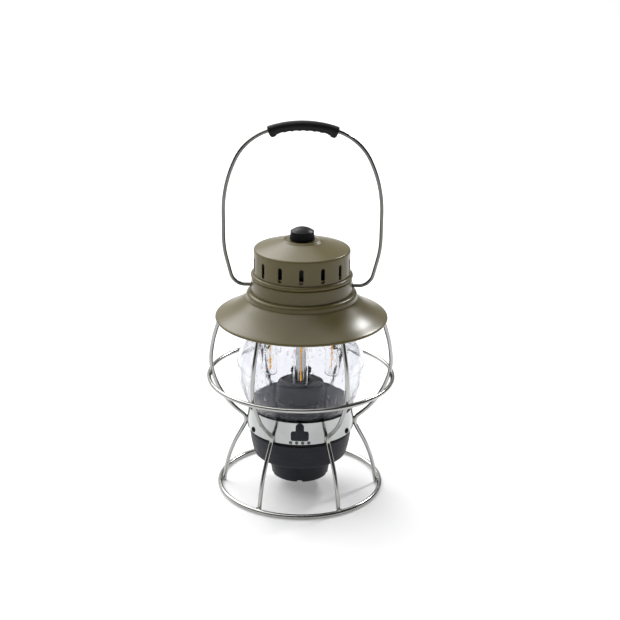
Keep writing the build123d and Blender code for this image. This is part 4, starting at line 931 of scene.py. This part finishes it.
KNOB_BOTTOM, KNOB_BOTTOM_R, KNOB_TOP_R, KNOB_SHOULDER_Z, KNOB_TOP = 255.0, 12.0, 11.3, 262.9, 266.9
HOLLOW_R, HOLLOW_Z, SKIRT_LOW, SKIRT_H, KNURLS, KNURL_DEPTH = 7.5, 258.6, 1.2, 6.2, 48, 0.42
knob_line = [(0, HOLLOW_Z), (HOLLOW_R, HOLLOW_Z), (HOLLOW_R, KNOB_BOTTOM)]
knob_line += [(KNOB_BOTTOM_R - 0.3, KNOB_BOTTOM), (KNOB_BOTTOM_R, KNOB_BOTTOM + 0.3),
              (KNOB_BOTTOM_R - 0.05, KNOB_BOTTOM + 0.9)]
knob_line += [(KNOB_TOP_R + (KNOB_BOTTOM_R - 0.1 - KNOB_TOP_R) * (1 - k / 10) ** 2.2,
               KNOB_BOTTOM + SKIRT_LOW + SKIRT_H * k / 10) for k in range(11)]
knob_line += rounded([(KNOB_TOP_R, KNOB_SHOULDER_Z - 0.4), (KNOB_TOP_R, KNOB_SHOULDER_Z + 0.15),
                      (10.4, 263.5)], 0.35, 15)
dome_r = (KNOB_TOP_R ** 2 + (KNOB_TOP - KNOB_SHOULDER_Z) ** 2) / (2 * (KNOB_TOP - KNOB_SHOULDER_Z))
knob_line += [(dome_r * sin(a), KNOB_TOP - dome_r * (1 - cos(a)))
              for a in [0.55 * (1 - k / 14) for k in range(14)]] + [(0, KNOB_TOP)]


def knurl(angle, index, height):
    """The knurled flutes, fading out at both ends of the skirt."""
    low_end, high_end = KNOB_BOTTOM + 1.0, KNOB_SHOULDER_Z - 0.5
    if not low_end < height < high_end or index < 5:
        return 0.0
    fade = min(1.0, (height - low_end) / 0.5, (high_end - height) / 0.5)
    return -KNURL_DEPTH * fade * (0.5 + 0.5 * cos(angle * KNURLS)) ** 1.5


piece("dimmer_knob_cap", turned(knob_line, KNURLS * 10, False, knurl), LOOKS["knob_plastic"], "knob",
      "dimmer_knob", 50)

# -------------------------------- bail

BAIL_R, PIVOT_Z, BAIL_TOP_Z, BUTTON_X, BUSH_X = 1.75, 209.2, 363.3, 44.4, 48.0
bail_side = [(BUTTON_X, PIVOT_Z), (65.3, PIVOT_Z), (74.6, 246.0), (74.6, 306.7), (53.1, 352.6),
             (15.3, BAIL_TOP_Z)]
bail_radii = [14, 88, 115, 52.5, 104]
bail_points = [(-x, z) for x, z in bail_side] + [(x, z) for x, z in reversed(bail_side)]
bail_line = split(rounded(bail_points, bail_radii + bail_radii[::-1], 2.5), 4.0)
heads = []
for k in (-1, 1):
    button = turned(rounded([(0, 0), (2.9, 0), (2.9, 1.2), (0, 1.2)], [0.4, 0.3], 20), 40, False)
    seat = Matrix.Translation((BUTTON_X * k, 0, PIVOT_Z)) @ Matrix.Rotation(pi / 2 * k, 4, "Y")
    heads.append(moved(button, seat))
handle = swept([(x, 0, z) for x, z in bail_line], BAIL_R, Vector((0, 1, 0)), 24, 0.3)
piece("bail_handle_wire", merge(handle, *heads), LOOKS["bail_wire"], "bail", "bail_wire")
eyelet = rounded([(1.82, -1.4), (2.75, -1.4), (2.75, 0.02), (3.3, 0.02), (3.3, 0.8), (1.82, 0.8)],
                 [0.1, 0.1, 0.1, 0.2, 0.5, 0.4], 20, True)
piece("bail_eyelets", merge(*[moved(turned(eyelet, 64), Matrix.Translation((BUSH_X * k, 0, PIVOT_Z))
                                    @ Matrix.Rotation(pi / 2 * k, 4, "Y")) for k in (-1, 1)]),
      LOOKS["black_paint"], "lantern", "bail_bushes")

# grip: a moulded sleeve with finger scallops and an end lobe below at each side
GRIP_HALF, GRIP_ARC_R, GRIP_R, GRIP_END_R = 33.2, 96.0, 5.0, 2.2
SCALLOPED_HALF, SCALLOP_PITCH, SCALLOP_DEPTH = 24.2, 7.0, 0.65
LOBE_X, LOBE_HALF, LOBE_H = 29.6, 3.2, 1.5
GRIP_STEPS, GRIP_AROUND = 220, 48
grip_rings = []
for k in range(GRIP_STEPS + 1):
    s = 2 * k / GRIP_STEPS - 1
    x_arc = GRIP_HALF * s
    a = x_arc / GRIP_ARC_R
    centre = Vector((GRIP_ARC_R * sin(a), 0, BAIL_TOP_Z - GRIP_ARC_R + GRIP_ARC_R * cos(a)))
    down = Vector((-sin(a), 0, -cos(a)))
    edge = min(1.0, (1 - abs(s)) * GRIP_HALF / 1.5)
    body_r = GRIP_END_R + (GRIP_R - GRIP_END_R) * sqrt(max(0.0, 1 - (1 - edge) ** 2))
    inside = 1.0 if abs(x_arc) < SCALLOPED_HALF else 0.0
    scallop = SCALLOP_DEPTH * inside * abs(cos(pi * x_arc / SCALLOP_PITCH)) ** 0.8
    lobe = LOBE_H * exp(-((abs(x_arc) - LOBE_X) / LOBE_HALF) ** 4)
    row = []
    for m in range(GRIP_AROUND):
        b = tau * m / GRIP_AROUND
        below = max(0.0, cos(b))
        r = body_r + (lobe - scallop) * below ** 2 * min(1.0, edge)
        row.append(centre + down * (r * cos(b)) + Vector((0, 1, 0)) * (r * sin(b)))
    grip_rings.append(row)
piece("bail_grip_sleeve", loft(grip_rings), LOOKS["grip_rubber"], "bail", "bail_grip", 60)

# -------------------------------- stage, light and camera


def plain(name, colour, roughness, glow=0.0):
    """An even, slightly cloudy surface that also glows."""
    look = Look(name, colour, roughness)
    darker = tuple(c * 0.985 for c in colour)
    look.link("Base Color", look.tint(look.noise(2.0, 2), (0.3, darker), (0.7, colour)))
    look.set("Emission Color", (1, 1, 1, 1))
    look.set("Emission Strength", glow)
    return look.material


floor_mesh = bpy.data.meshes.new("floor")
reach = 14.0
floor_mesh.from_pydata([(-reach, -reach, 0), (reach, -reach, 0), (reach, reach, 0), (-reach, reach, 0)], [],
                       [(0, 1, 2, 3)])
floor = bpy.data.objects.new("floor", floor_mesh)
scene.collection.objects.link(floor)
floor_mesh.materials.append(plain("floor_white", (0.80, 0.80, 0.81), 0.9, 0.25))

AIM = Vector((0, 0, 0.18))


def lamp(name, kind, place, power, **shape):
    """A light aimed at the middle of the lantern."""
    light = bpy.data.lights.new(name, kind)
    light.energy = power
    for key, value in shape.items():
        setattr(light, key, value)
    obj = bpy.data.objects.new(name, light)
    obj.location = place
    obj.rotation_euler = (AIM - Vector(place)).to_track_quat("-Z", "Y").to_euler()
    scene.collection.objects.link(obj)


lamp("key_softbox", "AREA", (1.10, 1.28, 1.56), 19, shape="RECTANGLE", size=0.24, size_y=0.40)
lamp("left_softbox", "AREA", (-0.90, 1.35, 1.55), 16, shape="RECTANGLE", size=1.2, size_y=1.0)
lamp("sky", "SUN", (-0.80, 0.55, 2.2), 2.7, angle=radians(78))

world = bpy.data.worlds.new("studio")
scene.world = world
world.use_nodes = True
tree = world.node_tree

# a pale glow low on the left behind the object, in a dark room
facing_glow = tree.nodes.new("ShaderNodeVectorMath")
facing_glow.operation = "DOT_PRODUCT"
facing_glow.inputs[1].default_value = Vector((-0.55, 0.80, 0.24)).normalized()
tree.links.new(tree.nodes.new("ShaderNodeTexCoord").outputs["Generated"], facing_glow.inputs[0])
glow = tree.nodes.new("ShaderNodeMapRange")
glow.interpolation_type = "SMOOTHSTEP"
for key, value in (("From Min", 0.35), ("From Max", 0.97), ("To Min", 0.05), ("To Max", 0.70)):
    glow.inputs[key].default_value = value
tree.links.new(facing_glow.outputs["Value"], glow.inputs["Value"])
tree.links.new(glow.outputs["Result"], tree.nodes["Background"].inputs["Color"])

# the camera that fits the photograph
camera_data = bpy.data.cameras.new("camera")
camera_data.lens, camera_data.sensor_width = 76.65, 36.0
camera_data.shift_x = -0.0062
camera_data.clip_end = 60.0
camera = bpy.data.objects.new("camera", camera_data)
camera.location = (0.01188, -1.2019, 0.6090)
camera.matrix_world = (Matrix.Translation(camera.location) @ Matrix.Rotation(radians(90 - 19.49), 4, "X")
                       @ Matrix.Rotation(radians(0.76), 4, "Z"))
scene.collection.objects.link(camera)
scene.camera = camera
scene.view_settings.view_transform = "Standard"
